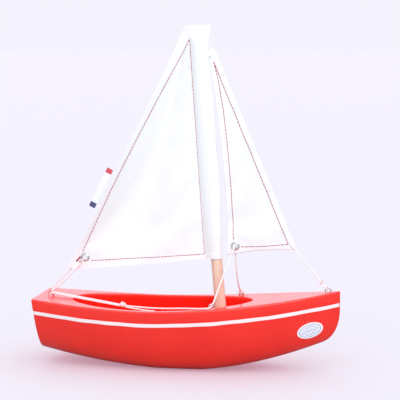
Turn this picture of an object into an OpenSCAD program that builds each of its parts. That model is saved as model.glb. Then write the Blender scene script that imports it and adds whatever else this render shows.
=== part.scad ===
// Toy sailing boat for a pond: a carved wooden hull with a cockpit, a raked mast,
// a cotton mainsail sewn round the mast, a jib, and one cord that trims both sails.
// Millimetres. +X points to the bow, +Y to port and +Z up. The origin lies on the
// surface that the boat stands on, under the middle of the hull's length.

/* [Hull] */
// Length of the hull over all
hull_len = 220; // [205:1:235]
// Greatest width of the hull
beam = 66; // [62:1:72]
// Width of the deck at the transom
transom_w = 46; // [42:1:52]
// Height of the gunwale at the transom
stern_h = 48; // [46:0.5:52]
// Height of the gunwale at its lowest point
waist_h = 44; // [42:0.5:46]
// Height of the gunwale at the bow
bow_h = 57.5; // [55:0.5:62]
// Rise of the keel line at the transom
stern_rise = 11; // [8:0.5:14]
// Rise of the keel line at the bow
bow_rise = 20; // [16:0.5:24]
// Width of the flat that the hull stands on
flat_w = 22; // [18:1:26]

/* [Cockpit] */
// Length of the cockpit
cockpit_len = 132; // [120:1:134]
// Greatest width of the cockpit
cockpit_w = 56; // [48:1:57]
// Height of the cockpit floor
floor_h = 20; // [18:0.5:24]

/* [Mast] */
// Diameter of the mast
mast_d = 8; // [7:0.5:8]
// Length of the mast above the cockpit floor
mast_len = 216; // [212:1:216]
// Depth of the mast's foot in its bore
mast_step = 12; // [8:1:14]
// Angle that the mast leans aft
mast_rake = 4.75; // [4.5:0.05:5]

/* [Sails] */
// Thickness of the sailcloth with its hems
cloth = 0.6; // [0.4:0.1:0.8]
// Height of the sleeve's open lower end
sleeve_h = 78.5; // [76:0.5:80]
// Outer diameter of an eyelet's flange
eyelet_d = 6.6; // [6:0.2:7]
// Diameter of an eyelet's hole
eyelet_hole = 3.8; // [3.6:0.1:4]

/* [Rigging] */
// Diameter of the cord
cord_d = 1.1; // [1:0.1:1.2]
// Diameter of a screw eye's wire
eye_wire = 1; // [0.9:0.1:1.1]
// Outer diameter of a screw eye's ring
eye_d = 4.8; // [4.8:0.1:5.2]

/* [Trim] */
// Width of the painted line's tape
stripe_w = 2.6; // [2:0.2:3]
// Depth of the tape's upper edge below the gunwale
stripe_drop = 8.4; // [7.6:0.2:10]
// Length of the oval sticker
sticker_w = 18; // [14:1:18]
// Height of the oval sticker
sticker_h = 11; // [9:1:11]

/* [Hidden] */
$fn = 64;

// Where the hull is widest, where its gunwale and keel line are lowest, as shares of its length
widest = 0.352;
lowest = 0.377;
deepest = 0.518;
// Width of the rounded stem, lean of the transom and depth of the forefoot's curve
stem_w = 1.8;
transom_lean = 5.5;
forefoot = 15;
forefoot_top = 0.62;
// Depth that the flat is planed off the bottom
planed = 0.6;
// Stations along the hull and steps down each side
stations = 36;
side_steps = 12;
// Powers of the hull's curves: beam aft and forward, gunwale, keel line
beam_aft = 1.76;
beam_fore = 2.34;
sheer_power = 1.7;
keel_power = 1.75;
// Powers of the section's superellipse
section_across = 0.707;
section_up = 0.685;

// Where the cockpit is widest, how much of its length lies aft of that, and how full its ends are
cockpit_x = -24;
cockpit_aft_share = 0.458;
cockpit_aft_power = 2.4;
cockpit_fore_power = 2;
cockpit_steps = 72;

mast_x = 26.5;
mast_fit = 0.05;
glue_gap = 0.05;
sleeve_r = mast_d / 2 + mast_fit + 0.55;

slug_d = 14;
slug_h = 8;
plug_h = 4;
slug_x = [-34, -12];

eye_ring = (eye_d - eye_wire) / 2;
eye_lift = 1.5;
shank_r = 0.7;
shank_len = 9;
bow_eye_at = [101.5, 0];
stern_eye_at = [-101.5, 0];
starboard_eye_at = [22.5, -25];
port_eye_at = [36, 24];

thread_w = 0.5;
main_head = 243;
main_clew = [-88.5, 69];
main_heel = [-82.5, 66.5];
// The folded band across the mainsail's head, from the leech round to the sleeve's flared front
band = 1.4;
band_outline = [[-0.8, main_head], [-4.8, 235], [9, 225], [13.8, 226], [17.4, main_head]];
// How far the sleeve's front stands off the mast: its front edge, and a line inside the sleeve
sleeve_front = [[26, 84], [23.6, 137], [17.6, 207], [15.2, 221], [10, 221], [20, 84]];
main_eyelet_at = [-75.5, 76];
// The jib's outline as [x, z], from the head down the luff to the tack and round by the clew
jib_outline = [
    [17.4, 228], [20.2, 226], [43.8, 170], [79, 86], [53, 84.8], [29, 80.4],
    [29.6, 98], [28, 120], [25.6, 150], [22.4, 180], [18.4, 207], [15.6, 224.5]
];
jib_eyelet_at = [35, 87.4];
jib_tack_hole = [74.2, 90.2];
head_hole_up = 201.7;
head_loop_r = 1.8;
tie_r = 0.4;

// Where the cords lie. The first and last points are the middles of what they pass through.
main_sheet_route = [
    [-101.2, 0.6, 49.6], [-100.7, 1.5, 51.5], [-97.2, 1.9, 56.2], [-91.4, 2.0, 62.2],
    [-85.0, 2.0, 68.4], [-79.2, 1.8, 73.4], [-76.2, 1.5, 75.2], [-75.5, 0, 76.0],
    [-76.2, -1.5, 75.2], [-78.0, -1.8, 72.2], [-83.1, -2.0, 66.2], [-89.5, -2.0, 59.8],
    [-95.7, -1.9, 53.9], [-100.2, -1.5, 50.7], [-101.2, -0.6, 49.6]
];
deck_line_route = [
    [22.5, -25.0, 48.2], [20.6, -25.9, 47.2], [15, -25.4, 46.4], [8, -24.4, 46.0],
    [0, -22.8, 45.5], [-10, -20.8, 44.6], [-22, -18.2, 44.0], [-32, -16.0, 43.9],
    [-40, -14.1, 43.95], [-60, -9.59, 45.8], [-80, -5.08, 47.64], [-101.2, -0.3, 49.6]
];
return_route = [
    [-101.2, -0.9, 48.8], [-95, -2.5, 48.2], [-80, -5.9, 46.8], [-60, -10.5, 45.0],
    [-46.7, -13.5, 43.8]
];
tail_route = [
    [-41.8, -14.6, 43.3], [-38, -15.6, 42.9], [-32, -17.4, 42.5], [-25.5, -19.6, 42.3],
    [-19.5, -21.4, 42.5]
];
starboard_route = [
    [35, -0.2, 87.4], [34.8, -1.7, 86.6], [33.3, -4.4, 82.4], [29.4, -12, 70],
    [25.8, -19, 58.4], [23.4, -23.8, 50.4], [22.5, -25, 48.2]
];
port_route = [
    [35, 0.2, 87.4], [35.2, 1.7, 86.2], [35.2, 2.6, 80], [35.3, 4.6, 71],
    [35.5, 8.6, 62], [35.8, 14.5, 55], [36, 20.5, 51], [36, 24, 49.4]
];

// The knot slides along this stretch of the deck line
knot_at = [-44, -13.2, 44.32];
knot_len = 5;
knot_r = 1.9;
slide_from = deck_line_route[len(deck_line_route) - 1];
slide_to = deck_line_route[8];

// ---- The hull's form: s runs from the transom to the stem, v from the keel to the gunwale ----

function half_beam(s) =
    s < widest
        ? beam / 2 - (beam - transom_w) / 2 * pow((widest - s) / widest, beam_aft)
        : stem_w / 2 + (beam - stem_w) / 2 * (1 - pow((s - widest) / (1 - widest), beam_fore));

function gunwale_z(s) =
    s < lowest
        ? waist_h + (stern_h - waist_h) * pow((lowest - s) / lowest, sheer_power)
        : waist_h + (bow_h - waist_h) * pow((s - lowest) / (1 - lowest), sheer_power);

function keel_z(s) =
    max(0, -planed + (s < deepest
        ? (stern_rise + planed) * pow((deepest - s) / deepest, keel_power)
        : (bow_rise + planed) * pow((s - deepest) / (1 - deepest), keel_power)));

// How far out the side is, from 0 at the edge of the flat to 1 at the gunwale
function fullness(v) = pow(1 - pow(1 - v, 2 / section_up), section_across / 2);

function side_y(s, v) =
    let (b = half_beam(s), flat = min(flat_w / beam * b, b))
    flat + (b - flat) * fullness(v);

function stern_x(v) = -hull_len / 2 + transom_lean * (1 - v);
function stem_x(v) =
    hull_len / 2 - forefoot * (1 - sqrt(1 - pow(1 - min(v / forefoot_top, 1), 2)));
function hull_x(s, v) = stern_x(v) + (stem_x(v) - stern_x(v)) * s;
function hull_z(s, v) = keel_z(s) + v * (gunwale_z(s) - keel_z(s));

// A point of the hull's side; side is -1 to starboard and 1 to port
function skin(s, v, side, proud = 0) =
    [hull_x(s, v), side * (side_y(s, v) + proud), hull_z(s, v)];

function height_share(s, z) = (z - keel_z(s)) / (gunwale_z(s) - keel_z(s));
function deck_z(x) = gunwale_z((x + hull_len / 2) / hull_len);

// ---- Shared shapes ----

// The faces of a skin through count rings of size points, closed round and capped at both ends
function ring_faces(count, size) = [
    [for (k = [size - 1 : -1 : 0]) k],
    for (i = [0 : count - 2], k = [0 : size - 1])
        let (a = i * size, b = a + size, n = (k + 1) % size)
        [a + k, a + n, b + n, b + k],
    [for (k = [0 : size - 1]) (count - 1) * size + k]
];

function unit(v) = v / norm(v);
function along(p, i) = unit(p[min(i + 1, len(p) - 1)] - p[max(i - 1, 0)]);

// A direction across the route at each point, carried along without twisting
function across(p, n, i = 0) =
    i == len(p)
        ? []
        : let (t = along(p, i), m = unit(n - (n * t) * t)) concat([m], across(p, m, i + 1));

module cord(route, d, sides = 8) {
    n = across(route, [0.31, 0.87, 0.17]);
    rings = [
        for (i = [0 : len(route) - 1], k = [0 : sides - 1])
            let (t = along(route, i), a = 360 * k / sides)
            route[i] + d / 2 * (cos(a) * n[i] + sin(a) * cross(t, n[i]))
    ];
    color("ivory") polyhedron(rings, ring_faces(len(route), sides), convexity = 4);
}

// Turns a shape's Z axis along a direction, about a point
module aim(at, direction) {
    d = unit(direction);
    translate(at)
        rotate([0, acos(d[2]), atan2(d[1], d[0])])
            children();
}

// A knot drawn as a barrel with rounded ends
module barrel(r, length) {
    rotate_extrude() {
        polygon([
            [0, -length / 2], [r * 0.65, -length / 2], [r * 0.93, -length * 0.3], [r, 0],
            [r * 0.93, length * 0.3], [r * 0.65, length / 2], [0, length / 2]
        ]);
    }
}

// Mast frame: origin on the cockpit floor, +Z up the mast, +X forward
module on_mast() {
    translate([mast_x, 0, floor_h]) rotate([0, -mast_rake, 0]) children();
}

// A flat piece of cloth in the middle plane, from an outline of [x, z] points
module cloth_piece(outline, thickness) {
    rotate([90, 0, 0]) linear_extrude(thickness, center = true) polygon(outline);
}

module hole_through(at, d) {
    translate([at[0], 0, at[1]]) rotate([90, 0, 0]) cylinder(h = 20, d = d, center = true);
}

// ---- The hull and what is set in it ----

// A point of the cockpit's outline: turn is 0 at its fore end and 180 at its aft end
function cockpit_edge(turn, side) =
    let (
        c = cos(turn),
        reach = cockpit_len * (c < 0 ? cockpit_aft_share : 1 - cockpit_aft_share),
        power = c < 0 ? cockpit_aft_power : cockpit_fore_power
    )
    [cockpit_x + reach * c, side * cockpit_w / 2 * sqrt(1 - pow(abs(c), power))];

module cockpit(height) {
    half = [for (k = [0 : cockpit_steps]) 180 * k / cockpit_steps];
    back = [for (k = [1 : cockpit_steps - 1]) 180 * (1 - k / cockpit_steps)];
    linear_extrude(height)
        polygon([for (t = half) cockpit_edge(t, 1), for (t = back) cockpit_edge(t, -1)]);
}

module hull_block() {
    size = 2 * (side_steps + 1);
    function step_v(k) = 1 - pow(cos(90 * k / side_steps), section_up);
    rings = [
        for (i = [0 : stations])
            let (s = i / stations)
            each [
                for (k = [side_steps : -1 : 0]) skin(s, step_v(k), -1),
                for (k = [0 : side_steps]) skin(s, step_v(k), 1)
            ]
    ];
    caps = [
        for (e = [0, stations], k = [0 : side_steps - 1])
            let (a = e * size + k, b = e * size + size - 1 - k)
            e == 0 ? [a, b, b - 1, a + 1] : [a, a + 1, b - 1, b]
    ];
    walls = [
        for (i = [0 : stations - 1], k = [0 : size - 1])
            let (a = i * size, b = a + size, n = (k + 1) % size)
            [a + k, a + n, b + n, b + k]
    ];
    polyhedron(rings, concat(caps, walls), convexity = 6);
}

module hull() {
    color("red") difference() {
        hull_block();
        translate([0, 0, floor_h]) cockpit(bow_h);
        on_mast() translate([0, 0, -mast_step - 0.2])
            cylinder(h = mast_step + 5, d = mast_d + 2 * glue_gap);
        for (x = slug_x)
            translate([x, 0, floor_h - plug_h - slug_h])
                cylinder(h = plug_h + slug_h + 1, d = slug_d + 2 * glue_gap);
        for (at = [bow_eye_at, stern_eye_at, starboard_eye_at, port_eye_at])
            translate([at[0], at[1], deck_z(at[0]) + eye_lift - eye_ring - shank_len])
                cylinder(h = shank_len + 2, r = shank_r + 0.05);
    }
}

module ballast_slugs() {
    color("gray") for (x = slug_x)
        translate([x, 0, floor_h - plug_h - slug_h]) cylinder(h = slug_h, d = slug_d);
}

module ballast_plugs() {
    color("red") for (x = slug_x)
        translate([x, 0, floor_h - plug_h]) cylinder(h = plug_h, d = slug_d);
}

// The white line round the hull is a thin tape, pressed a little into the paint
module stripe(side) {
    rings = [
        for (i = [0 : stations])
            let (
                s = i / stations,
                top = height_share(s, gunwale_z(s) - stripe_drop),
                low = height_share(s, gunwale_z(s) - stripe_drop - stripe_w)
            )
            each [
                skin(s, top, side, 0.2), skin(s, low, side, 0.2),
                skin(s, low, side, -0.5), skin(s, top, side, -0.5)
            ]
    ];
    faces = ring_faces(stations + 1, 4);
    color("white")
        polyhedron(rings, side < 0 ? faces : [for (f = faces) [for (k = [len(f) - 1 : -1 : 0]) f[k]]],
            convexity = 4);
}

module stripe_starboard() { stripe(-1); }
module stripe_port() { stripe(1); }

// The sticker follows the hull's curve, so it is an ellipse of points laid on the skin
module bow_sticker() {
    middle = [90, 30.4];
    tilt = 19;
    turns = 28;
    spread = 4;
    function on_skin(x, z, proud) =
        let (
            v = height_share((x + hull_len / 2) / hull_len, z),
            s = (x - stern_x(v)) / (stem_x(v) - stern_x(v))
        )
        skin(s, height_share(s, z), -1, proud);
    function at(share, turn, proud) =
        let (a = share * sticker_w / 2 * cos(turn), b = share * sticker_h / 2 * sin(turn))
        on_skin(
            middle[0] + a * cos(tilt) - b * sin(tilt), middle[1] + a * sin(tilt) + b * cos(tilt), proud
        );
    // Rings of points from near the middle out over the rim and back in behind
    shares = [for (k = [1 : spread]) k / spread];
    rings = [
        for (f = shares, k = [0 : turns - 1]) at(f, 360 * k / turns, 0.2),
        for (i = [spread - 1 : -1 : 0], k = [0 : turns - 1]) at(shares[i], 360 * k / turns, -0.5)
    ];
    color("white") polyhedron(rings, ring_faces(2 * spread, turns), convexity = 4);
}

module mast() {
    chamfer = 0.8;
    color("burlywood") on_mast() {
        translate([0, 0, -mast_step]) cylinder(h = mast_step + mast_len - chamfer, d = mast_d);
        translate([0, 0, mast_len - chamfer])
            cylinder(h = chamfer, d1 = mast_d, d2 = mast_d - 2 * chamfer);
    }
}

// A screw eye whose ring faces sideways, turned by turn degrees
module screw_eye(at, turn) {
    color("silver") translate([at[0], at[1], deck_z(at[0]) + eye_lift]) rotate([0, 0, turn]) {
        rotate([90, 0, 0]) rotate_extrude() translate([eye_ring, 0]) circle(d = eye_wire, $fn = 32);
        translate([0, 0, -eye_ring - shank_len + 0.2]) cylinder(h = shank_len, r = shank_r, $fn = 32);
    }
}

module bow_eye() { screw_eye(bow_eye_at, 0); }
module stern_eye() { screw_eye(stern_eye_at, 0); }
module starboard_eye() { screw_eye(starboard_eye_at, 20); }
module port_eye() { screw_eye(port_eye_at, -20); }

// ---- The mainsail, sewn round the mast as a sleeve ----

seam_back = 8.8;
// The lines of stitching as [x, z], from the head down the leech and back along the foot
main_seam = [[2.2, 233.5], [-16.9, 198.8], [-80, 73], [13, 81.1]];
jib_seam = [
    [19.2, 218], [24, 195], [27.9, 175], [30.6, 145.6], [32.5, 115.7], [33.4, 96], [36, 86.2],
    [73.1, 89.6]
];
cos_rake = cos(mast_rake);

// The same outline, drawn in by a distance on every side; it runs anticlockwise
function inset(outline, d) =
    let (n = len(outline))
    [
        for (i = [0 : n - 1])
            let (
                p = outline[i],
                a = unit(outline[(i + 1) % n] - p),
                b = unit(outline[(i + n - 1) % n] - p)
            )
            p + d * (a + b) / cross(a, b)
    ];

module mainsail() {
    low = (sleeve_h - floor_h) / cos_rake;
    tail = seam_back - 0.5;
    color("white") difference() {
        union() {
            cloth_piece([
                [-0.8, main_head], main_clew, main_heel, [16, sleeve_h - 0.5],
                [mast_x - 4 - tan(mast_rake) * (main_head - floor_h), main_head]
            ], cloth);
            cloth_piece(band_outline, band);
            cloth_piece(sleeve_front, cloth);
            on_mast() translate([0, 0, low]) linear_extrude(mast_len + 1.5 - low) {
                circle(sleeve_r);
                polygon([[0, sleeve_r], [-tail, cloth * 0.6], [-tail, -cloth * 0.6], [0, -sleeve_r]]);
            }
        }
        on_mast() cylinder(h = mast_len + 0.3, d = mast_d + 2 * mast_fit);
        hole_through(main_eyelet_at, eyelet_hole + 0.7);
    }
}

// A line of thread that shows on both faces of the cloth
module seam(outline, eyelet_at) {
    color("firebrick") difference() {
        cloth_piece(outline, cloth + 0.4);
        cloth_piece(inset(outline, thread_w), 3);
        hole_through(eyelet_at, eyelet_d + 0.2);
    }
}

// The flanged half of an eyelet, whose flange lies on the starboard face
module eyelet(at) {
    r = eyelet_hole / 2;
    face = cloth / 2;
    color("silver") translate([at[0], 0, at[1]]) rotate([90, 0, 0]) rotate_extrude()
        polygon([
            [r, -face - 0.6], [r + 0.8, -face - 0.6], [r + 0.8, -face - 0.4], [r + 0.3, -face - 0.4],
            [r + 0.3, face], [eyelet_d / 2, face], [eyelet_d / 2 - 0.5, face + 0.5],
            [r + 0.4, face + 0.6], [r, face + 0.3]
        ]);
}

// The ring behind the cloth that the eyelet is clenched over
module washer(at) {
    color("silver") translate([at[0], 0, at[1]]) rotate([-90, 0, 0])
        translate([0, 0, cloth / 2]) difference() {
            cylinder(h = 0.4, d = eyelet_d);
            translate([0, 0, -1]) cylinder(h = 3, d = eyelet_hole + 0.7);
        }
}

module mainsail_stitching() { seam(main_seam, main_eyelet_at); }
module mainsail_eyelet() { eyelet(main_eyelet_at); }
module mainsail_washer() { washer(main_eyelet_at); }

// A folded ribbon caught in the leech's hem
module leech_tab() {
    head = [-0.8, main_head];
    down = unit(main_clew - head);
    out = [down[1], -down[0]];
    start = 115;
    length = 31;
    color("white") cloth_piece([
        head + start * down - 1.5 * out, head + start * down + 4.8 * out,
        head + (start + length) * down + 4.8 * out, head + (start + length) * down - 1.5 * out
    ], cloth - 0.2);
}

// ---- The jib, tied to the bow and to the sleeve's front ----

module jib() {
    color("white") difference() {
        cloth_piece(jib_outline, cloth);
        hole_through(jib_eyelet_at, eyelet_hole + 0.7);
        hole_through(jib_tack_hole, 1.6);
        on_mast() translate([sleeve_r - 0.05 + 2 * head_loop_r, 0, head_hole_up])
            rotate([90, 0, 0]) cylinder(h = 4, d = 1.6, center = true);
    }
}

module jib_stitching() { seam(jib_seam, jib_eyelet_at); }
module jib_eyelet() { eyelet(jib_eyelet_at); }
module jib_washer() { washer(jib_eyelet_at); }

module jib_head_loop() {
    color("ivory") on_mast() translate([sleeve_r - 0.05 + head_loop_r, 0, head_hole_up])
        rotate_extrude() translate([head_loop_r, 0]) circle(tie_r, $fn = 32);
}

// The tack is tied down to the bow eye: a lashing, a knot and a loop through the eye
bow_ring = [bow_eye_at[0], 0, deck_z(bow_eye_at[0]) + eye_lift];
tack_hole = [jib_tack_hole[0], 0, jib_tack_hole[1]];
to_tack = unit(tack_hole - bow_ring);
lash_len = norm(tack_hole - bow_ring);
function lash(distance, aside) = bow_ring + distance * to_tack + [0, aside, 0];

module tack_lashing() {
    cord([
        lash(6.6, 0.55), lash(12, 0.6), lash(22, 0.7), lash(lash_len - 6, 0.9),
        lash(lash_len - 1.4, 0.9), lash(lash_len, 0), lash(lash_len - 1.4, -0.9),
        lash(lash_len - 6, -0.9), lash(22, -0.7), lash(12, -0.6), lash(6.6, -0.55)
    ], 2 * tie_r);
}

module tack_knot() {
    color("ivory") aim(lash(7.2, 0), to_tack) barrel(1.5, 2.6);
}

module bow_loop() {
    cord([
        lash(7, 0.6), lash(5, 1.5), lash(2.6, 1.9), lash(0.9, 1.4), lash(0.3, 0),
        lash(0.9, -1.4), lash(2.6, -1.9), lash(5, -1.5), lash(7, -0.6)
    ], 2 * tie_r);
}

// ---- The line that trims both sails ----

module jib_sheet_port() { cord(port_route, cord_d); }
module jib_sheet_starboard() { cord(starboard_route, cord_d); }
module deck_line() { cord(deck_line_route, cord_d); }
module main_sheet() { cord(main_sheet_route, cord_d); }
module return_strand() { cord(return_route, cord_d); }
module line_tail() { cord(tail_route, cord_d); }

module port_sheet_knot() {
    color("ivory") aim([36, 22.2, 50.2], port_route[6] - port_route[7]) barrel(1.4, 2.4);
}

// The knot that grips the deck line, with a bore that the line runs through
module slider_knot() {
    color("ivory") aim(knot_at, slide_to - slide_from) difference() {
        barrel(knot_r, knot_len);
        cylinder(h = 2 * knot_len, d = cord_d + 0.12, center = true);
    }
}

hull();
ballast_slugs();
ballast_plugs();
stripe_starboard();
stripe_port();
bow_sticker();
mast();
bow_eye();
stern_eye();
starboard_eye();
port_eye();
mainsail();
mainsail_stitching();
mainsail_eyelet();
mainsail_washer();
leech_tab();
jib();
jib_stitching();
jib_eyelet();
jib_washer();
jib_head_loop();
tack_lashing();
tack_knot();
bow_loop();
jib_sheet_port();
port_sheet_knot();
jib_sheet_starboard();
deck_line();
main_sheet();
return_strand();
slider_knot();
line_tail();
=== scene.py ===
"""The looks of a toy sailing boat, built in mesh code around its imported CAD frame.

Everything is in metres, in the frame's own axes: +X to the bow, +Y to port, +Z up, with the
origin on the floor under the middle of the hull. Lengths are written in millimetres times MM.
"""

import math

import bmesh
import bpy
import numpy as np
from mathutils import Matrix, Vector


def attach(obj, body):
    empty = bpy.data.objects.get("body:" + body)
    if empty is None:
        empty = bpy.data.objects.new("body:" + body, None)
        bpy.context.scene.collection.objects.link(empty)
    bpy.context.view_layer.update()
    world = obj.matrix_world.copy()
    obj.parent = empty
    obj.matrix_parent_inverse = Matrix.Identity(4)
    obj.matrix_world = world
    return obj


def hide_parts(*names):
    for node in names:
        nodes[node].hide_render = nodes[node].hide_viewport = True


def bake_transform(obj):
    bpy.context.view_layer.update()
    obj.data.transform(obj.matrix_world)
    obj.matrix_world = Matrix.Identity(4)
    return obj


MM = 0.001
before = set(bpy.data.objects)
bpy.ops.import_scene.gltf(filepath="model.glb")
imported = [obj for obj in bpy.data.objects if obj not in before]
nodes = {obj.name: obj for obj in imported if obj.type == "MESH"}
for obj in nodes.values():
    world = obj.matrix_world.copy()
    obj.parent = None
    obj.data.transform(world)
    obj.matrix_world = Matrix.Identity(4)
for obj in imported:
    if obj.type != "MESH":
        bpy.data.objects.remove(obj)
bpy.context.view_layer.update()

# ---------------------------------------------------------------- camera

CAMERA_AT = (0.17107, -0.87826, 0.23201)
CAMERA_TO = (0.00959, 0.0, 0.1198)
CAMERA_LENS = 113.7


def aim(obj, place, target):
    """Puts a camera or a lamp at a place and turns it to a target."""
    obj.location = place
    obj.rotation_euler = (Vector(target) - Vector(place)).to_track_quat("-Z", "Y").to_euler()
    bpy.context.scene.collection.objects.link(obj)


def add_camera():
    camera = bpy.data.objects.new("camera", bpy.data.cameras.new("camera"))
    camera.data.lens = CAMERA_LENS
    camera.data.sensor_width = 36
    camera.data.clip_start = 0.01
    aim(camera, CAMERA_AT, CAMERA_TO)
    bpy.context.scene.camera = camera


add_camera()

# ---------------------------------------------------------------- mesh helpers


def unit(v):
    return v / np.maximum(np.linalg.norm(v, axis=-1, keepdims=True), 1e-12)


def smoothstep(x, low, high):
    t = np.clip((x - low) / (high - low), 0, 1)
    return t * t * (3 - 2 * t)


def power(x, p):
    return np.clip(x, 0, None) ** p


def xyz(x, y, z):
    """Points from their three coordinates."""
    return np.stack(np.broadcast_arrays(x, y, z), axis=-1)


def round_turn(count):
    """Angles of a full turn in even steps."""
    return np.arange(count) * 2 * math.pi / count


def distances(line):
    """How far along a line each of its points lies."""
    return np.concatenate([[0], np.cumsum(np.linalg.norm(np.diff(line, axis=0), axis=1))])


def grid_faces(rows, columns, wrap=False):
    """Quads of a grid of points; wrap joins each row's last point to its first."""
    i = np.arange(rows - 1)[:, None] * columns
    j = np.arange(columns if wrap else columns - 1)[None, :]
    n = (j + 1) % columns
    return np.stack([i + j, i + n, i + n + columns, i + j + columns], axis=-1).reshape(-1, 4)


def capped(rings):
    """A closed skin over rows of rings, with a flat cap on either end."""
    rows, sides = rings.shape[:2]
    faces = grid_faces(rows, sides, wrap=True).tolist()
    faces += [list(range(sides - 1, -1, -1)), [(rows - 1) * sides + k for k in range(sides)]]
    return rings.reshape(-1, 3), faces


def folded(rings):
    """A closed skin over rows of flattened rings, with a strip of quads across either end."""
    rows, count = rings.shape[:2]
    faces = grid_faces(rows, count, wrap=True).tolist()
    for start in (0, (rows - 1) * count):
        last = start + count - 1
        faces += [[start + k, start + k + 1, last - 1 - k, last - k] for k in range(count // 2 - 1)]
    return rings.reshape(-1, 3), faces


def merged(parts):
    """One list of points and one of faces from several (points, faces)."""
    points, faces, start = [], [], 0
    for p, f in parts:
        points.append(np.asarray(p).reshape(-1, 3))
        faces += [[int(k) + start for k in face] for face in f]
        start += len(points[-1])
    return np.concatenate(points), faces


def smooth(mesh, sharp):
    """Shades a mesh smooth, apart from edges that turn by more than an angle in degrees."""
    mesh.shade_smooth()
    mesh.set_sharp_from_angle(angle=math.radians(sharp))


def make(name, shape, material, body=None, slot=None, replaces=(), sharp=40, weld=False):
    """An object from (points, faces) that rides on a body and stands for CAD nodes."""
    points, faces = shape
    mesh = bpy.data.meshes.new(name)
    mesh.from_pydata(np.reshape(points, (-1, 3)).tolist(), [], [list(map(int, f)) for f in faces])
    if weld:
        work = bmesh.new()
        work.from_mesh(mesh)
        bmesh.ops.remove_doubles(work, verts=work.verts, dist=0.002 * MM)
        bmesh.ops.dissolve_degenerate(work, edges=work.edges, dist=0.001 * MM)
        bmesh.ops.recalc_face_normals(work, faces=work.faces)
        work.to_mesh(mesh)
        work.free()
    mesh.validate()
    smooth(mesh, sharp)
    mesh.materials.append(material)
    obj = bpy.data.objects.new(name, mesh)
    bpy.context.scene.collection.objects.link(obj)
    if body:
        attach(obj, body)
    if replaces:
        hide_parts(*replaces)
    return obj


def float_attribute(obj, name, values):
    data = obj.data.attributes.new(name, "FLOAT", "POINT").data
    data.foreach_set("value", values.astype(np.float32))


def spots(mesh):
    """A mesh's points as an array."""
    co = np.zeros(len(mesh.vertices) * 3, np.float32)
    mesh.vertices.foreach_get("co", co)
    return co.reshape(-1, 3).astype(float)


def baked(obj):
    """An object's mesh as its modifiers leave it."""
    graph = bpy.context.evaluated_depsgraph_get()
    return bpy.data.meshes.new_from_object(obj.evaluated_get(graph))


def spaced(line, step):
    """Evenly spaced points along a line."""
    along = distances(line)
    at = np.linspace(0, along[-1], max(3, int(round(along[-1] / step)) + 1))
    return np.stack([np.interp(at, along, line[:, k]) for k in range(3)], axis=1)


def curve_through(points, step):
    """Evenly spaced points on a smooth curve through the given ones."""
    p = np.array(points, float)
    t = np.concatenate([[0], np.cumsum(np.sqrt(np.linalg.norm(np.diff(p, axis=0), axis=1)))])
    slope = np.gradient(p, t, axis=0)
    at = np.linspace(0, t[-1], 60 * len(p))
    k = np.clip(np.searchsorted(t, at, side="right") - 1, 0, len(p) - 2)
    span = (t[k + 1] - t[k])[:, None]
    u = (at - t[k])[:, None] / span
    line = (
        (2 * u**3 - 3 * u**2 + 1) * p[k]
        + (u**3 - 2 * u**2 + u) * span * slope[k]
        + (3 * u**2 - 2 * u**3) * p[k + 1]
        + (u**3 - u**2) * span * slope[k + 1]
    )
    return spaced(line, step)


def frames_along(line):
    """Tangent and two cross directions at each point, carried along without twisting."""
    t = unit(np.gradient(line, axis=0))
    n = np.zeros_like(t)
    start = np.array([0.31, 0.87, 0.17])
    for i in range(len(line)):
        n[i] = unit(start - (start @ t[i]) * t[i])
        start = n[i]
    return t, n, np.cross(t, n)


def tube(line, radius, sides=12, relief=None, closed=False, round_ends=True):
    """A tube round a line. relief(angle, along) gives how far its surface stands in or out."""
    line = np.asarray(line, float)
    t, n, b = frames_along(line)
    angle = round_turn(sides)
    r = np.full((len(line), sides), float(radius))
    if relief:
        r = r + relief(angle[None, :], distances(line)[:, None])
    ring = np.cos(angle)[None, :, None] * n[:, None] + np.sin(angle)[None, :, None] * b[:, None]
    rings = line[:, None] + r[..., None] * ring
    if closed:
        faces = grid_faces(len(line) + 1, sides, wrap=True) % (len(line) * sides)
        return rings.reshape(-1, 3), faces
    if round_ends:
        reach, share = r[0].mean() * 0.45, 0.7
        first = line[0] - t[0] * reach + share * (rings[0] - line[0])
        final = line[-1] + t[-1] * reach + share * (rings[-1] - line[-1])
        rings = np.concatenate([first[None], rings, final[None]])
    return capped(rings)


def turned_ring(profile, centre, segments=64):
    """A ring turned from (radius, height) points about a line to starboard through a centre."""
    r, height = np.array(profile, float).T
    a = round_turn(segments)[:, None]
    points = xyz(r * np.cos(a), -height, r * np.sin(a)) + centre
    return points, grid_faces(segments + 1, len(r), wrap=True) % (segments * len(r))


def across_axis(direction):
    """Two axes square to a direction, and the direction itself."""
    d = unit(np.asarray(direction, float))
    side = unit(np.cross(d, [0.2, 0.9, 0.4]))
    return np.stack([side, np.cross(d, side), d])


def cylinder(origin, direction, radius, length, sides=64):
    x, y, z = across_axis(direction)
    a = round_turn(sides)
    ring = np.outer(np.cos(a), x) * radius + np.outer(np.sin(a), y) * radius + origin
    return capped(np.stack([ring, ring + z * length]))


def cut(obj, cutters, sharp):
    """Takes closed shapes out of an object's mesh."""
    tool = make("cutter", merged(cutters), RED)
    step = obj.modifiers.new("cut", "BOOLEAN")
    step.object = tool
    step.solver = "EXACT"
    bpy.context.view_layer.update()
    result = baked(obj)
    obj.modifiers.clear()
    obj.data = result
    bpy.data.objects.remove(tool)
    smooth(result, sharp)


# ---------------------------------------------------------------- material helpers


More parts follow.
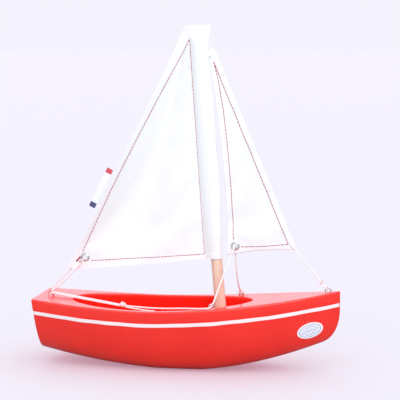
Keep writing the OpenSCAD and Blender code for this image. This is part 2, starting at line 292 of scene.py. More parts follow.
class Finish:
    """A Principled material and the nodes that feed it, in the boat's own coordinates."""

    def __init__(self, name, colour, **sockets):
        self.material = bpy.data.materials.new(name)
        self.material.use_nodes = True
        self.tree = self.material.node_tree
        self.shader = self.tree.nodes["Principled BSDF"]
        self.shader.inputs["Base Color"].default_value = (*colour, 1)
        for key, value in sockets.items():
            self.shader.inputs[key.replace("_", " ")].default_value = value

    def add(self, kind, inputs=None, **props):
        node = self.tree.nodes.new("ShaderNode" + kind)
        for key, value in props.items():
            setattr(node, key, value)
        for key, value in (inputs or {}).items():
            self.put(value, node.inputs[key])
        return node

    def put(self, value, socket):
        if isinstance(value, bpy.types.NodeSocket):
            self.tree.links.new(value, socket)
        else:
            socket.default_value = value

    def to(self, socket, value):
        self.put(value, self.shader.inputs[socket])

    def place(self, scale=(1, 1, 1), turn=(0, 0, 0)):
        coordinates = self.add("TexCoord").outputs["Object"]
        mapped = self.add("Mapping", {"Vector": coordinates, "Rotation": turn, "Scale": scale})
        return mapped.outputs["Vector"]

    def noise(self, vector, scale, detail=4.0, rough=0.55):
        inputs = {"Vector": vector, "Scale": scale, "Detail": detail, "Roughness": rough}
        return self.add("TexNoise", inputs).outputs["Fac"]

    def cells(self, vector, scale):
        return self.add("TexVoronoi", {"Vector": vector, "Scale": scale}).outputs["Distance"]

    def waves(self, vector, scale, distortion):
        inputs = {"Vector": vector, "Scale": scale, "Distortion": distortion}
        return self.add("TexWave", inputs).outputs["Fac"]

    def attribute(self, name):
        return self.add("Attribute", attribute_name=name).outputs["Fac"]

    def maths(self, operation, a, b=0.0):
        return self.add("Math", {0: a, 1: b}, operation=operation).outputs[0]

    def times(self, a, b):
        return self.maths("MULTIPLY", a, b)

    def span(self, value, low, high, out_low=0.0, out_high=1.0):
        inputs = {"Value": value, "From Min": low, "From Max": high, "To Min": out_low}
        inputs["To Max"] = out_high
        return self.add("MapRange", inputs).outputs["Result"]

    def mix(self, share, a, b):
        node = self.add("Mix", data_type="RGBA")
        self.put(share, node.inputs["Factor"])
        for value, key in ((a, 6), (b, 7)):
            self.put((*value, 1) if isinstance(value, tuple) else value, node.inputs[key])
        return node.outputs[2]

    def bump(self, height, strength, distance, under=None):
        node = self.add("Bump", {"Height": height, "Strength": strength, "Distance": distance})
        if under is not None:
            self.put(under, node.inputs["Normal"])
        return node.outputs["Normal"]


# ---------------------------------------------------------------- materials


def red_lacquer():
    """Sprayed gloss lacquer over carved wood: pooled colour, dust specks, and edges made lighter partly
    by worn-thin paint and partly as a painted highlight.
    """
    f = Finish("red_lacquer", (0.92, 0.018, 0.010), Roughness=0.2, IOR=1.5)
    broad = f.noise(f.place((1, 1.6, 1.6)), 26, 3)
    colour = f.mix(f.span(broad, 0.35, 0.7), (0.94, 0.021, 0.010), (0.88, 0.015, 0.009))
    # Lighter, more orange red on the eased edges: worn-thin paint, and a painted highlight along them.
    edge_wear_and_highlight = f.times(f.attribute("edge"), f.span(f.noise(f.place(), 900, 3), 0.3, 0.7, 0.35, 1.0))
    colour = f.mix(f.times(edge_wear_and_highlight, 0.35), colour, (0.95, 0.11, 0.08))
    dust = f.span(f.cells(f.place(), 300), 0.05, 0.03)
    speck = f.times(dust, f.span(f.noise(f.place(), 60, 2), 0.56, 0.6))
    f.to("Base Color", f.mix(f.times(speck, 0.4), colour, (0.95, 0.35, 0.33)))
    f.to("Roughness", f.span(f.noise(f.place(), 90, 4), 0.3, 0.7, 0.18, 0.25))
    grain = f.bump(f.noise(f.place((0.08, 1, 1)), 700, 3), 0.10, 0.02 * MM)
    peel = f.bump(f.noise(f.place(), 320, 2), 0.10, 0.02 * MM, grain)
    f.to("Normal", f.bump(speck, 0.3, 0.03 * MM, peel))
    return f.material


def painted_wood_plug():
    """The plugs in the cockpit floor, under the same lacquer, with the end grain telling through."""
    f = Finish("painted_plug", (0.9, 0.016, 0.014), Roughness=0.26, IOR=1.45)
    rings = f.waves(f.place((1, 0.3, 1)), 160, 3)
    f.to("Base Color", f.mix(rings, (0.92, 0.020, 0.010), (0.80, 0.012, 0.008)))
    f.to("Roughness", f.span(rings, 0, 1, 0.24, 0.36))
    f.to("Normal", f.bump(rings, 0.2, 0.06 * MM))
    return f.material


def beech():
    """Bare sanded beech dowel: pinkish, fine lines along it and short dark flecks."""
    f = Finish("beech_dowel", (0.76, 0.48, 0.35), Roughness=0.55)
    turn = (0, math.radians(4.75), 0)
    lines = f.noise(f.place((1, 1, 0.035), turn), 950, 5, 0.6)
    broad = f.noise(f.place((1, 1, 0.05), turn), 170, 3)
    fleck = f.span(f.cells(f.place((1, 1, 0.16), turn), 1250), 0.22, 0.12)
    colour = f.mix(f.span(lines, 0.35, 0.68), (0.79, 0.54, 0.41), (0.90, 0.69, 0.56))
    colour = f.mix(f.span(broad, 0.4, 0.7, 0, 0.45), colour, (0.74, 0.49, 0.36))
    f.to("Base Color", f.mix(f.times(fleck, 0.55), colour, (0.42, 0.22, 0.12)))
    f.to("Roughness", f.span(lines, 0.3, 0.7, 0.45, 0.65))
    f.to("Normal", f.bump(f.maths("SUBTRACT", lines, f.times(fleck, 0.4)), 0.35, 0.08 * MM))
    return f.material


WEAVE_PITCH = 0.42 * MM


def weave(f):
    """Bump of a plain weave that lies in the sail's plane, and the slubs in its yarn."""
    place = f.add("SeparateXYZ", {"Vector": f.place()})
    slub = f.noise(f.place(), 500, 3)
    shift = f.times(slub, 2.2)
    yarns = []
    for axis in (0, 2):
        turn = f.times(place.outputs[axis], 2 * math.pi / WEAVE_PITCH)
        yarns.append(f.maths("SINE", f.maths("ADD", turn, shift)))
    height = f.maths("ADD", f.times(*yarns), f.times(slub, 0.8))
    return f.bump(height, 0.35, 0.05 * MM), slub


def sailcloth():
    """White cotton that lets a little light through, with painted pink shade on the rolled foot that
    stands in for light thrown up from the red hull.
    """
    f = Finish(
        "sailcloth", (0.90, 0.87, 0.89), Roughness=0.86, Sheen_Weight=0.25, Sheen_Roughness=0.5,
        Subsurface_Weight=0.12, Subsurface_Radius=(0.6, 0.5, 0.5), Subsurface_Scale=1.2 * MM,
    )
    normal, slub = weave(f)
    broad = f.noise(f.place(), 30, 3)
    colour = f.mix(f.span(slub, 0.3, 0.7), (0.93, 0.895, 0.905), (0.91, 0.87, 0.88))
    colour = f.mix(f.span(broad, 0.45, 0.75, 0, 0.35), colour, (0.905, 0.86, 0.875))
    # Painted shade: the rolled foot is tinted pink, standing in for light bounced up from the red hull.
    f.to("Base Color", f.mix(f.times(f.attribute("fold"), 0.5), colour, (0.92, 0.80, 0.83)))
    f.to("Normal", f.bump(f.noise(f.place((1, 1, 0.5)), 75, 3), 0.22, 1.1 * MM, normal))
    f.to("Roughness", f.span(slub, 0.3, 0.7, 0.8, 0.92))
    return f.material


def twisted(name, dark, light, scale, rough=0.8):
    """Spun yarn or cord, with fuzz in two tones."""
    f = Finish(name, light, Roughness=rough, Sheen_Weight=0.3, Sheen_Roughness=0.5)
    fuzz = f.noise(f.place(), scale, 5, 0.7)
    f.to("Base Color", f.mix(f.span(fuzz, 0.3, 0.7), dark, light))
    f.to("Roughness", f.span(fuzz, 0.3, 0.7, rough - 0.12, rough + 0.08))
    f.to("Normal", f.bump(fuzz, 0.5, 0.06 * MM))
    return f.material


def ribbon_weave():
    """White ribbon with a red block at its upper end and a navy one at its lower end."""
    f = Finish("ribbon", (0.9, 0.89, 0.92), Roughness=0.6, Sheen_Weight=0.2)
    along = f.maths("ADD", f.attribute("along"), f.times(f.noise(f.place(), 900, 2), 0.012))
    colour = f.mix(f.span(along, 0.126, 0.118), (0.96, 0.95, 0.97), (0.70, 0.07, 0.10))
    colour = f.mix(f.span(along, 0.878, 0.886), colour, (0.06, 0.06, 0.17))
    ribs = f.waves(f.place((0.894, 1, 0.448)), 900, 0.4)
    f.to("Base Color", f.mix(f.times(ribs, 0.10), colour, (0.3, 0.28, 0.32)))
    f.to("Roughness", f.span(ribs, 0, 1, 0.5, 0.7))
    f.to("Normal", f.bump(ribs, 0.3, 0.05 * MM))
    return f.material


def metal(name, colour, rough, tarnish):
    """Plated metal: fine drawing marks, dulled and darker in patches."""
    f = Finish(name, colour, Metallic=1.0, Roughness=rough)
    patch = f.noise(f.place(), 700, 4)
    marks = f.noise(f.place((1, 1, 8)), 2500, 3)
    dull = f.span(patch, 0.3, 0.7, rough - 0.08, rough + 0.14)
    f.to("Base Color", f.mix(f.span(patch, 0.4, 0.75), colour, tarnish))
    f.to("Roughness", f.maths("ADD", dull, f.span(marks, 0, 1, 0, 0.08)))
    f.to("Normal", f.bump(marks, 0.15, 0.02 * MM))
    return f.material


def tape():
    """The hull's white line: satin, a little pink where the red shows through."""
    f = Finish("white_tape", (0.94, 0.82, 0.83), Roughness=0.38, Coat_Weight=0.2)
    thin = f.noise(f.place((0.3, 1, 1)), 160, 4)
    colour = f.mix(f.span(thin, 0.45, 0.75, 0, 0.5), (0.96, 0.82, 0.83), (0.93, 0.71, 0.72))
    f.to("Base Color", f.mix(f.times(f.attribute("rim"), 0.75), colour, (0.90, 0.52, 0.52)))
    f.to("Roughness", f.span(f.noise(f.place(), 500, 3), 0.3, 0.7, 0.3, 0.46))
    f.to("Normal", f.bump(f.noise(f.place((0.2, 1, 1)), 700, 3), 0.18, 0.05 * MM))
    return f.material


def sticker_print():
    """A white oval with a grey-blue line round it and a plain pattern of waves."""
    f = Finish("sticker_print", (0.9, 0.9, 0.92), Roughness=0.25, Coat_Weight=0.5, Coat_Roughness=0.1)
    out = f.attribute("out")
    ink = (0.42, 0.42, 0.52)
    ring = f.times(f.span(out, 0.78, 0.80), f.span(out, 0.865, 0.845))
    wave = f.times(f.maths("SINE", f.times(f.attribute("sideways"), 16)), 0.07)
    rows = f.maths("PINGPONG", f.maths("SUBTRACT", f.attribute("upright"), wave), 0.16)
    lines = f.times(f.span(rows, 0.055, 0.035), f.span(out, 0.66, 0.60))
    colour = f.mix(f.span(out, 0.80, 0.79), (0.96, 0.88, 0.93), (0.84, 0.775, 0.87))
    colour = f.mix(f.times(lines, 0.6), colour, ink)
    f.to("Base Color", f.mix(ring, colour, ink))
    f.to("Roughness", f.span(f.noise(f.place(), 600, 3), 0.3, 0.7, 0.2, 0.32))
    f.to("Normal", f.bump(f.noise(f.place(), 260, 3), 0.12, 0.05 * MM))
    return f.material


RED = red_lacquer()
PLUG_RED = painted_wood_plug()
BEECH = beech()
COTTON = sailcloth()
CORD_YARN = twisted("cotton_cord", (0.82, 0.76, 0.76), (0.93, 0.885, 0.885), 2200)
THREAD = twisted("red_thread", (0.33, 0.018, 0.035), (0.50, 0.035, 0.06), 4200, 0.6)
RIBBON = ribbon_weave()
NICKEL = metal("nickel_plate", (0.78, 0.76, 0.75), 0.2, (0.52, 0.50, 0.50))
ZINC = metal("zinc_wire", (0.66, 0.65, 0.66), 0.3, (0.36, 0.35, 0.37))
STEEL = metal("sawn_steel", (0.5, 0.5, 0.52), 0.4, (0.3, 0.28, 0.27))
TAPE = tape()
STICKER = sticker_print()

# ---------------------------------------------------------------- cords

CORD = 1.1 * MM
TIE = 0.8 * MM
BRAID_PITCH = 2.6
LAY_PITCH = 2.4


def braid(d):
    """Relief of a braided cord: two sets of strands that cross."""

    def relief(angle, along):
        turn = 2 * math.pi * along / (BRAID_PITCH * d)
        right = np.cos(4 * angle - turn)
        left = np.cos(4 * angle + turn)
        return 0.045 * d * (np.maximum(right, left) - 0.6)

    return relief


def laid(d):
    """Relief of a cord of three twisted strands."""

    def relief(angle, along):
        turn = math.pi * along / (LAY_PITCH * d)
        return 0.055 * d * (np.abs(np.cos(1.5 * angle - turn)) - 0.6)

    return relief


def line_length(line):
    return float(distances(line)[-1])


# Routes in metres: the first and last points are the middles of what the cord passes through
MAIN_SHEET = [
    (-0.1012, 0.0006, 0.0496), (-0.1007, 0.0015, 0.0515), (-0.0972, 0.0019, 0.0562),
    (-0.0914, 0.0020, 0.0622), (-0.0850, 0.0020, 0.0684), (-0.0792, 0.0018, 0.0734),
    (-0.0762, 0.0015, 0.0752), (-0.0755, 0.0, 0.0760), (-0.0762, -0.0015, 0.0752),
    (-0.0780, -0.0018, 0.0722), (-0.0831, -0.0020, 0.0662), (-0.0895, -0.0020, 0.0598),
    (-0.0957, -0.0019, 0.0539), (-0.1002, -0.0015, 0.0507), (-0.1012, -0.0006, 0.0496),
]
DECK_LINE = [
    (0.0225, -0.0250, 0.0482), (0.0206, -0.0259, 0.0472), (0.0150, -0.0254, 0.0464),
    (0.0080, -0.0244, 0.0460), (0.0, -0.0228, 0.0455), (-0.0100, -0.0208, 0.0446),
    (-0.0220, -0.0182, 0.0440), (-0.0320, -0.0160, 0.0439), (-0.0400, -0.0141, 0.04395),
    (-0.0600, -0.00959, 0.0458), (-0.0800, -0.00508, 0.04764), (-0.1012, -0.0003, 0.0496),
]
RETURN = [
    (-0.1012, -0.0009, 0.0488), (-0.0950, -0.0025, 0.0482), (-0.0800, -0.0059, 0.0468),
    (-0.0600, -0.0105, 0.0450), (-0.0467, -0.0135, 0.0438),
]
TAIL = [
    (-0.0418, -0.0146, 0.0433), (-0.0380, -0.0156, 0.0429), (-0.0320, -0.0174, 0.0425),
    (-0.0255, -0.0196, 0.0423), (-0.0195, -0.0214, 0.0425),
]
STARBOARD_SHEET = [
    (0.0350, -0.0002, 0.0874), (0.0348, -0.0017, 0.0866), (0.0333, -0.0044, 0.0824),
    (0.0294, -0.0120, 0.0700), (0.0258, -0.0190, 0.0584), (0.0234, -0.0238, 0.0504),
    (0.0225, -0.0250, 0.0482),
]
PORT_SHEET = [
    (0.0350, 0.0002, 0.0874), (0.0352, 0.0017, 0.0862), (0.0352, 0.0026, 0.0800),
    (0.0353, 0.0046, 0.0710), (0.0355, 0.0086, 0.0620), (0.0358, 0.0145, 0.0550),
    (0.0360, 0.0205, 0.0510), (0.0360, 0.0240, 0.0494),
]
RING_STEP = 0.2 * MM
KNOT_STEP = 0.15 * MM
PORT_KNOT_AT, PORT_KNOT_R = (0.036, 0.0222, 0.0502), 2.4 * MM
SLIDER_KNOT_AT = np.array([-0.044, -0.0132, 0.04432])
SLIDE_WAY = np.array([0.9716, -0.2191, -0.0897])
UPWARD = np.array([0, 0, 1.0])


def cord_piece(name, line, d, relief, sides=20, **where):
    """A cord's tube with its strands in relief."""
    shape = tube(line, d / 2, sides, relief(d))
    return make(name, shape, CORD_YARN, slot="cord", sharp=180, **where)


def knot_piece(node, body, shapes):
    """The turns of a knot that stands for a CAD node."""
    return make(node + "_turns", merged(shapes), CORD_YARN, body, "cord", [node], sharp=180)


def overhand(centre, direction, size, d, relief):
    """An overhand knot drawn tight: a trefoil of cord, of the given outer radius."""
    t = round_turn(180)
    scale = (size - d / 2) / 3
    loop = xyz(np.sin(t) + 2 * np.sin(2 * t), np.cos(t) - 2 * np.cos(2 * t), -1.25 * np.sin(3 * t))
    line = (loop * scale) @ across_axis(direction) + centre
    return tube(line, d / 2, 16, relief(d), closed=True)


def wrapped(centre, direction, inner, d, turns):
    """The line of a cord wound round another, side by side."""
    count = int(turns * 40)
    a = np.linspace(0, 2 * math.pi * turns, count)
    r = inner + d / 2
    height = (np.linspace(0, 1, count) - 0.5) * turns * d
    return xyz(r * np.cos(a), r * np.sin(a), height) @ across_axis(direction) + centre


def make_slider_knot():
    """Turns drawn up round the deck line, and a strand that rides over them."""
    d = CORD * 0.92
    turns = wrapped(SLIDER_KNOT_AT, SLIDE_WAY, 0.62 * MM, d, turns=3.2)
    along = across_axis(SLIDE_WAY)[2]
    axes = np.stack([along, UPWARD, unit(np.cross(UPWARD, along))])
    over = np.array([
        (-2.4, 0.2, 1.3), (-1.6, 1.5, 0.9), (0.1, 1.8, -0.2), (1.7, 1.3, -1.1), (2.4, -0.1, -1.4),
    ])
    over = curve_through(SLIDER_KNOT_AT + over * MM @ axes, KNOT_STEP)
    return knot_piece("slider_knot", "slider", [tube(p, d / 2, 16, braid(d)) for p in (turns, over)])


def make_cords():
    def run(route, name, node, body=None):
        line = curve_through(route, RING_STEP)
        return line, cord_piece(name, line, CORD, braid, body=body, replaces=[node])

    line, sheet = run(MAIN_SHEET, "main_sheet_cord", "main_sheet")
    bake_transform(sheet)

    line, deck = run(DECK_LINE, "deck_line_cord", "deck_line", "hull")

    line, tail = run(TAIL, "line_tail_cord", "line_tail", "slider")
    knot = make_slider_knot()
    line, back = run(RETURN, "return_cord", "return_strand")
    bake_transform(back)

    line, starboard = run(STARBOARD_SHEET, "jib_sheet_starboard_cord", "jib_sheet_starboard")
    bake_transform(starboard)

    line, port = run(PORT_SHEET, "jib_sheet_port_cord", "jib_sheet_port")
    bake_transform(port)

    direction = np.array(PORT_SHEET[6]) - np.array(PORT_SHEET[7])
    knot = overhand(PORT_KNOT_AT, direction, PORT_KNOT_R, CORD * 0.9, braid)
    knot_piece("port_sheet_knot", "hull", [knot])


# ---------------------------------------------------------------- the hull's form, as in the CAD

LENGTH = 220 * MM
BEAM = 66 * MM
TRANSOM = 46 * MM
STERN_H, WAIST_H, BOW_H = 48 * MM, 44 * MM, 57.5 * MM
STERN_RISE, BOW_RISE, PLANED = 11 * MM, 20 * MM, 0.6 * MM
FLAT = 22 * MM
STEM = 1.8 * MM
TRANSOM_LEAN, FOREFOOT, FOREFOOT_TOP = 5.5 * MM, 15 * MM, 0.62
WIDEST, LOWEST, DEEPEST = 0.352, 0.377, 0.518
BEAM_AFT, BEAM_FORE, SHEER, KEEL = 1.76, 2.34, 1.7, 1.75
ACROSS, UP = 0.707, 0.685
FLOOR = 20 * MM
COCKPIT_X, COCKPIT_LEN, COCKPIT_W = -24 * MM, 132 * MM, 56 * MM
COCKPIT_AFT_SHARE, COCKPIT_AFT_POWER, COCKPIT_FORE_POWER = 0.458, 2.4, 2.0
MAST_X, RAKE = 26.5 * MM, math.radians(4.75)
MAST_FOOT = np.array([MAST_X, 0, FLOOR])
MAST_UP = np.array([-math.sin(RAKE), 0, math.cos(RAKE)])
MAST_FORWARD = np.array([math.cos(RAKE), 0, math.sin(RAKE)])
SLUG_X = (-34 * MM, -12 * MM)
# Each screw eye's place on the deck, and the angle in degrees that its ring is turned to
EYES = {
    "bow_eye": (101.5 * MM, 0.0, 0), "stern_eye": (-101.5 * MM, 0.0, 0),
    "starboard_eye": (22.5 * MM, -25 * MM, 20), "port_eye": (36 * MM, 24 * MM, -20),
}
EYE_RING, EYE_WIRE, EYE_LIFT = 1.9 * MM, 1.0 * MM, 1.5 * MM
EYE_SHANK, EYE_THREAD_PITCH, EYE_THREAD_DEEP = 9 * MM, 0.8 * MM, 0.16 * MM
PLUG_BORE_R, PLUG_BORE_Z = 7.05 * MM, 8 * MM
MAST_BORE_R, MAST_BORE_DEEP = 4.05 * MM, 12.2 * MM
PILOT_R, PILOT_DEEP = 0.75 * MM, 9.4 * MM


def half_beam(s):
    aft = BEAM / 2 - (BEAM - TRANSOM) / 2 * power((WIDEST - s) / WIDEST, BEAM_AFT)
    fore = STEM / 2 + (BEAM - STEM) / 2 * (1 - power((s - WIDEST) / (1 - WIDEST), BEAM_FORE))
    return np.where(s < WIDEST, aft, fore)


def gunwale(s):
    aft = (STERN_H - WAIST_H) * power((LOWEST - s) / LOWEST, SHEER)
    return WAIST_H + aft + (BOW_H - WAIST_H) * power((s - LOWEST) / (1 - LOWEST), SHEER)


def keel(s):
    aft = (STERN_RISE + PLANED) * power((DEEPEST - s) / DEEPEST, KEEL)
    fore = (BOW_RISE + PLANED) * power((s - DEEPEST) / (1 - DEEPEST), KEEL)
    return np.maximum(0, -PLANED + aft + fore)


def side_y(s, v):
    b = half_beam(s)
    flat = np.minimum(FLAT / BEAM * b, b)
    return flat + (b - flat) * power(1 - power(1 - v, 2 / UP), ACROSS / 2)


def stern_x(v):
    return -LENGTH / 2 + TRANSOM_LEAN * (1 - v)


def stem_x(v):
    return LENGTH / 2 - FOREFOOT * (1 - np.sqrt(1 - (1 - np.minimum(v / FOREFOOT_TOP, 1)) ** 2))


def hull_x(s, v):
    return stern_x(v) + (stem_x(v) - stern_x(v)) * s


def along_hull(x):
    """Share of the hull's length at x."""
    return (x + LENGTH / 2) / LENGTH


def deck_z(x):
    return gunwale(along_hull(x))


def height_share(s, z):
    return (z - keel(s)) / (gunwale(s) - keel(s))


def cockpit_edge(turn, grow=0.0):
    """x and half width of the cockpit's outline: turn runs from 0 at its aft end to pi forward."""
    c = -np.cos(turn)
    aft = COCKPIT_LEN * COCKPIT_AFT_SHARE
    reach = np.where(c < 0, aft, COCKPIT_LEN - aft) + grow
    full = np.where(c < 0, COCKPIT_AFT_POWER, COCKPIT_FORE_POWER)
    return COCKPIT_X + reach * c, (COCKPIT_W / 2 + grow) * power(1 - np.abs(c) ** full, 0.5)


def on_side(x, z, side, proud=0.0):
    """Points on the hull's side at x and z, standing proud of it."""
    v = height_share(along_hull(x), z)
    s = (x - stern_x(v)) / (stem_x(v) - stern_x(v))
    return xyz(x, side * (side_y(s, height_share(s, z)) + proud), z)


GUNWALE_EASE, COCKPIT_EASE, END_EASE, FLOOR_EASE = 1.3 * MM, 1.0 * MM, 0.9 * MM, 1.2 * MM
COCKPIT_TURNS = np.linspace(0, math.pi, 97)
# Columns of points: along the bottom, up the side, round the gunwale, and in over the deck
BOTTOM_STEPS, SIDE_STEPS, GUNWALE_STEPS, DECK_STEPS = 2, 26, 6, 8


def eased(count):
    """Angles from 0 to a quarter turn, for an eased edge."""
    return np.linspace(0, math.pi / 2, count)


def hull_stations():
    """Shares of the length, close together at the ends, and the cockpit's half width at each."""
    aft = END_EASE * (1 - np.cos(eased(6))) / LENGTH
    x, y = cockpit_edge(COCKPIT_TURNS, COCKPIT_EASE)
    inner = along_hull(x)
    behind = np.linspace(aft[-1], inner[0], 14)[1:-1]
    before = np.linspace(inner[-1], 1 - aft[-1], 34)[1:-1]
    s = np.concatenate([aft, behind, inner, before, 1 - aft[::-1]])
    opening = np.concatenate([0 * aft, 0 * behind, y, 0 * before, 0 * aft])
    return s, opening


def outer_skin():
    """Half of the block from the keel line, up the side and in over the deck to the cockpit."""
    s, inner = hull_stations()
    ends = np.minimum(s, 1 - s) * LENGTH
    drawn_in = END_EASE - power(END_EASE**2 - (END_EASE - ends) ** 2, 0.5)
    inset = np.minimum(np.where(ends < END_EASE, drawn_in, 0), half_beam(s) * 0.6)
    ease = np.minimum(GUNWALE_EASE, 0.55 * half_beam(s))
    top, low = gunwale(s) - inset, keel(s) + inset
    full = gunwale(s) - keel(s)
    edge_v = 1 - (ease + inset) / full
    columns = []
    for k in range(BOTTOM_STEPS):
        y = k / BOTTOM_STEPS * (side_y(s, 0 * s) - inset)
        columns.append(xyz(hull_x(s, 0 * s), y, low))
    for a in eased(SIDE_STEPS):
        v = (1 - math.cos(a) ** UP) * edge_v
        columns.append(xyz(hull_x(s, v), side_y(s, v) - inset, np.maximum(keel(s) + v * full, low)))
    outer = side_y(s, edge_v) - inset
    for a in eased(GUNWALE_STEPS + 1)[1:]:
        z = top - ease * (1 - math.sin(a))
        columns.append(xyz(hull_x(s, height_share(s, z)), outer - ease * (1 - math.cos(a)), z))
    last = outer - ease
    for k in np.linspace(0, 1, DECK_STEPS + 1)[1:]:
        columns.append(xyz(hull_x(s, height_share(s, top)), last + (inner - last) * k, top))
    return np.stack(columns, axis=1)


def cockpit_well():
    """Half of the cockpit: its eased lip, its wall, the wall's eased foot and the floor."""
    columns = []

    def low_ring(grow, z, inward=0.0):
        x, y = cockpit_edge(COCKPIT_TURNS, grow)
        columns.append(xyz(x, y * (1 - inward), z))

    for a in eased(6):
        x, y = cockpit_edge(COCKPIT_TURNS, COCKPIT_EASE * (1 - math.sin(a)))
        columns.append(xyz(x, y, deck_z(x) - COCKPIT_EASE * (1 - math.cos(a))))
    x, y = cockpit_edge(COCKPIT_TURNS)
    start = deck_z(x) - COCKPIT_EASE
    for k in np.linspace(0, 1, 10)[1:-1]:
        columns.append(xyz(x, y, start + (FLOOR + FLOOR_EASE - start) * k))
    for a in eased(5):
        low_ring(-FLOOR_EASE * (1 - math.cos(a)), FLOOR + FLOOR_EASE * (1 - math.sin(a)))
    for k in np.linspace(0, 1, 6)[1:]:
        low_ring(-FLOOR_EASE, FLOOR, k)
    return np.stack(columns, axis=1)


def hull_end(profile):
    """Closes the transom or the stem: strips from side to side, and one face up to the deck."""
    corner = BOTTOM_STEPS + SIDE_STEPS + GUNWALE_STEPS - 2
    n = len(profile)
    strips = [[k, k + 1, n + k + 1, n + k] for k in range(corner)]
    deck_edge = list(range(corner, n)) + list(range(2 * n - 2, n + corner - 1, -1))
    return np.concatenate([profile * (1, side, 1) for side in (-1, 1)]), strips + [deck_edge]


def hull_surface():
    """The block's whole skin: both halves of its outside and cockpit, and its two ends."""
    skin, well = outer_skin(), cockpit_well()
    parts = []
    for side in (-1, 1):
        for grid in (skin, well):
            parts.append((grid * (1, side, 1), grid_faces(*grid.shape[:2])))
    parts += [hull_end(skin[0]), hull_end(skin[-1])]
    return merged(parts)


def edge_wear_and_highlight_share(hull):
    """How near each of the hull's points lies to an edge that wears and that gets a painted highlight."""
    x, y, z = spots(hull.data).T
    s = np.clip(along_hull(x), 0, 1)
    rim = np.hypot(np.abs(y) - half_beam(s) + 0.4 * MM, z - gunwale(s) + 0.4 * MM)
    mouth = zip(*cockpit_edge(np.linspace(0, math.pi, 240)))
    to_mouth = [np.hypot(x - a, np.abs(y) - b) for a, b in mouth]
    lip = np.hypot(np.min(to_mouth, axis=0), z - gunwale(s))
    end = np.hypot(x - stern_x(height_share(s, z)), np.abs(y) - half_beam(s) + 0.3 * MM)
    near = np.minimum(np.minimum(rim, lip), end)
    return np.exp(-((near / (1.0 * MM)) ** 2))


def make_hull():
    """The block, bored for the ballast plugs, the mast and the screw eyes' shanks."""
    hull = make("hull_body", hull_surface(), RED, "hull", "red_paint", ["hull"], weld=True)
    cutters = [cylinder((x, 0, PLUG_BORE_Z), UPWARD, PLUG_BORE_R, 14 * MM) for x in SLUG_X]
    bottom = MAST_FOOT - MAST_BORE_DEEP * MAST_UP
    cutters.append(cylinder(bottom, MAST_UP, MAST_BORE_R, 15 * MM))
    for x, y, _ in EYES.values():
        bottom = (x, y, float(deck_z(x)) - PILOT_DEEP)
        cutters.append(cylinder(bottom, UPWARD, PILOT_R, 14 * MM, 24))
    cut(hull, cutters, 32)
    float_attribute(hull, "edge", edge_wear_and_highlight_share(hull))


# ---------------------------------------------------------------- trim on the hull

STRIPE_DROP, STRIPE_W, TAPE_T = 8.4 * MM, 2.6 * MM, 0.14 * MM
# The tape's section: share of its width down from its upper edge, and share of its thickness
TAPE_SECTION = [
    (0, 0), (0.02, 0.7), (0.06, 1), (0.15, 1), (0.5, 1), (0.85, 1), (0.94, 1), (0.98, 0.7), (1, 0),
]
SUNK = -0.3 * MM
STICKER_AT, STICKER_W, STICKER_H = (90 * MM, 30.4 * MM), 18 * MM, 11 * MM
STICKER_TILT = math.radians(19)
# The film's rings: share of the way out from its middle, and how proud it stands
STICKER_RINGS = [(k, 0.13 * MM) for k in (0.04, 0.2, 0.35, 0.5, 0.62, 0.72, 0.8, 0.86, 0.92, 0.96)]
STICKER_RINGS += [(0.985, 0.11 * MM), (1.0, 0.05 * MM), (1.0, SUNK), (0.04, SUNK)]


def make_stripe(name, side, node):
    """A thin tape laid along the side, with the small waver of a hand-laid edge."""
    s = np.linspace(0.0015, 0.9985, 240)
    waver = 0.10 * MM * (np.sin(31 * s + side) + 0.6 * np.sin(73 * s + 2 * side))
    width = STRIPE_W + 0.08 * MM * np.sin(57 * s + 1.3 * side)
    section = [(share, TAPE_T * rise - 0.02 * MM) for share, rise in TAPE_SECTION]
    rings = []
    for share, lift in section + [(1, SUNK), (0, SUNK)]:
        z = gunwale(s) - STRIPE_DROP + waver - share * width
        v = height_share(s, z)
        rings.append(xyz(hull_x(s, v), side * (side_y(s, v) + lift), z))
    shape = capped(np.stack(rings, axis=1))
    obj = make(name, shape, TAPE, "hull", "white_tape", [node], weld=True, sharp=80)
    x, _, z = spots(obj.data).T
    middle = deck_z(np.clip(x, -LENGTH / 2, LENGTH / 2)) - STRIPE_DROP - STRIPE_W / 2
    float_attribute(obj, "rim", smoothstep(np.abs(z - middle), 0.42 * STRIPE_W, 0.52 * STRIPE_W))


def make_sticker():
    """An oval of film, laid on the starboard bow, with its rim pressed down."""
    a = round_turn(96)
    share, lift = np.array(STICKER_RINGS).T[:, :, None]
    u, w = share * STICKER_W / 2 * np.cos(a), share * STICKER_H / 2 * np.sin(a)
    x = STICKER_AT[0] + u * math.cos(STICKER_TILT) - w * math.sin(STICKER_TILT)
    z = STICKER_AT[1] + u * math.sin(STICKER_TILT) + w * math.cos(STICKER_TILT)
    shape = capped(on_side(x, z, -1, lift))
    obj = make("bow_sticker_film", shape, STICKER, "hull", "sticker_film", ["bow_sticker"])
    float_attribute(obj, "sideways", (u / (STICKER_W / 2)).ravel())
    float_attribute(obj, "upright", (w / (STICKER_W / 2)).ravel())
    float_attribute(obj, "out", np.broadcast_to(share, u.shape).ravel())


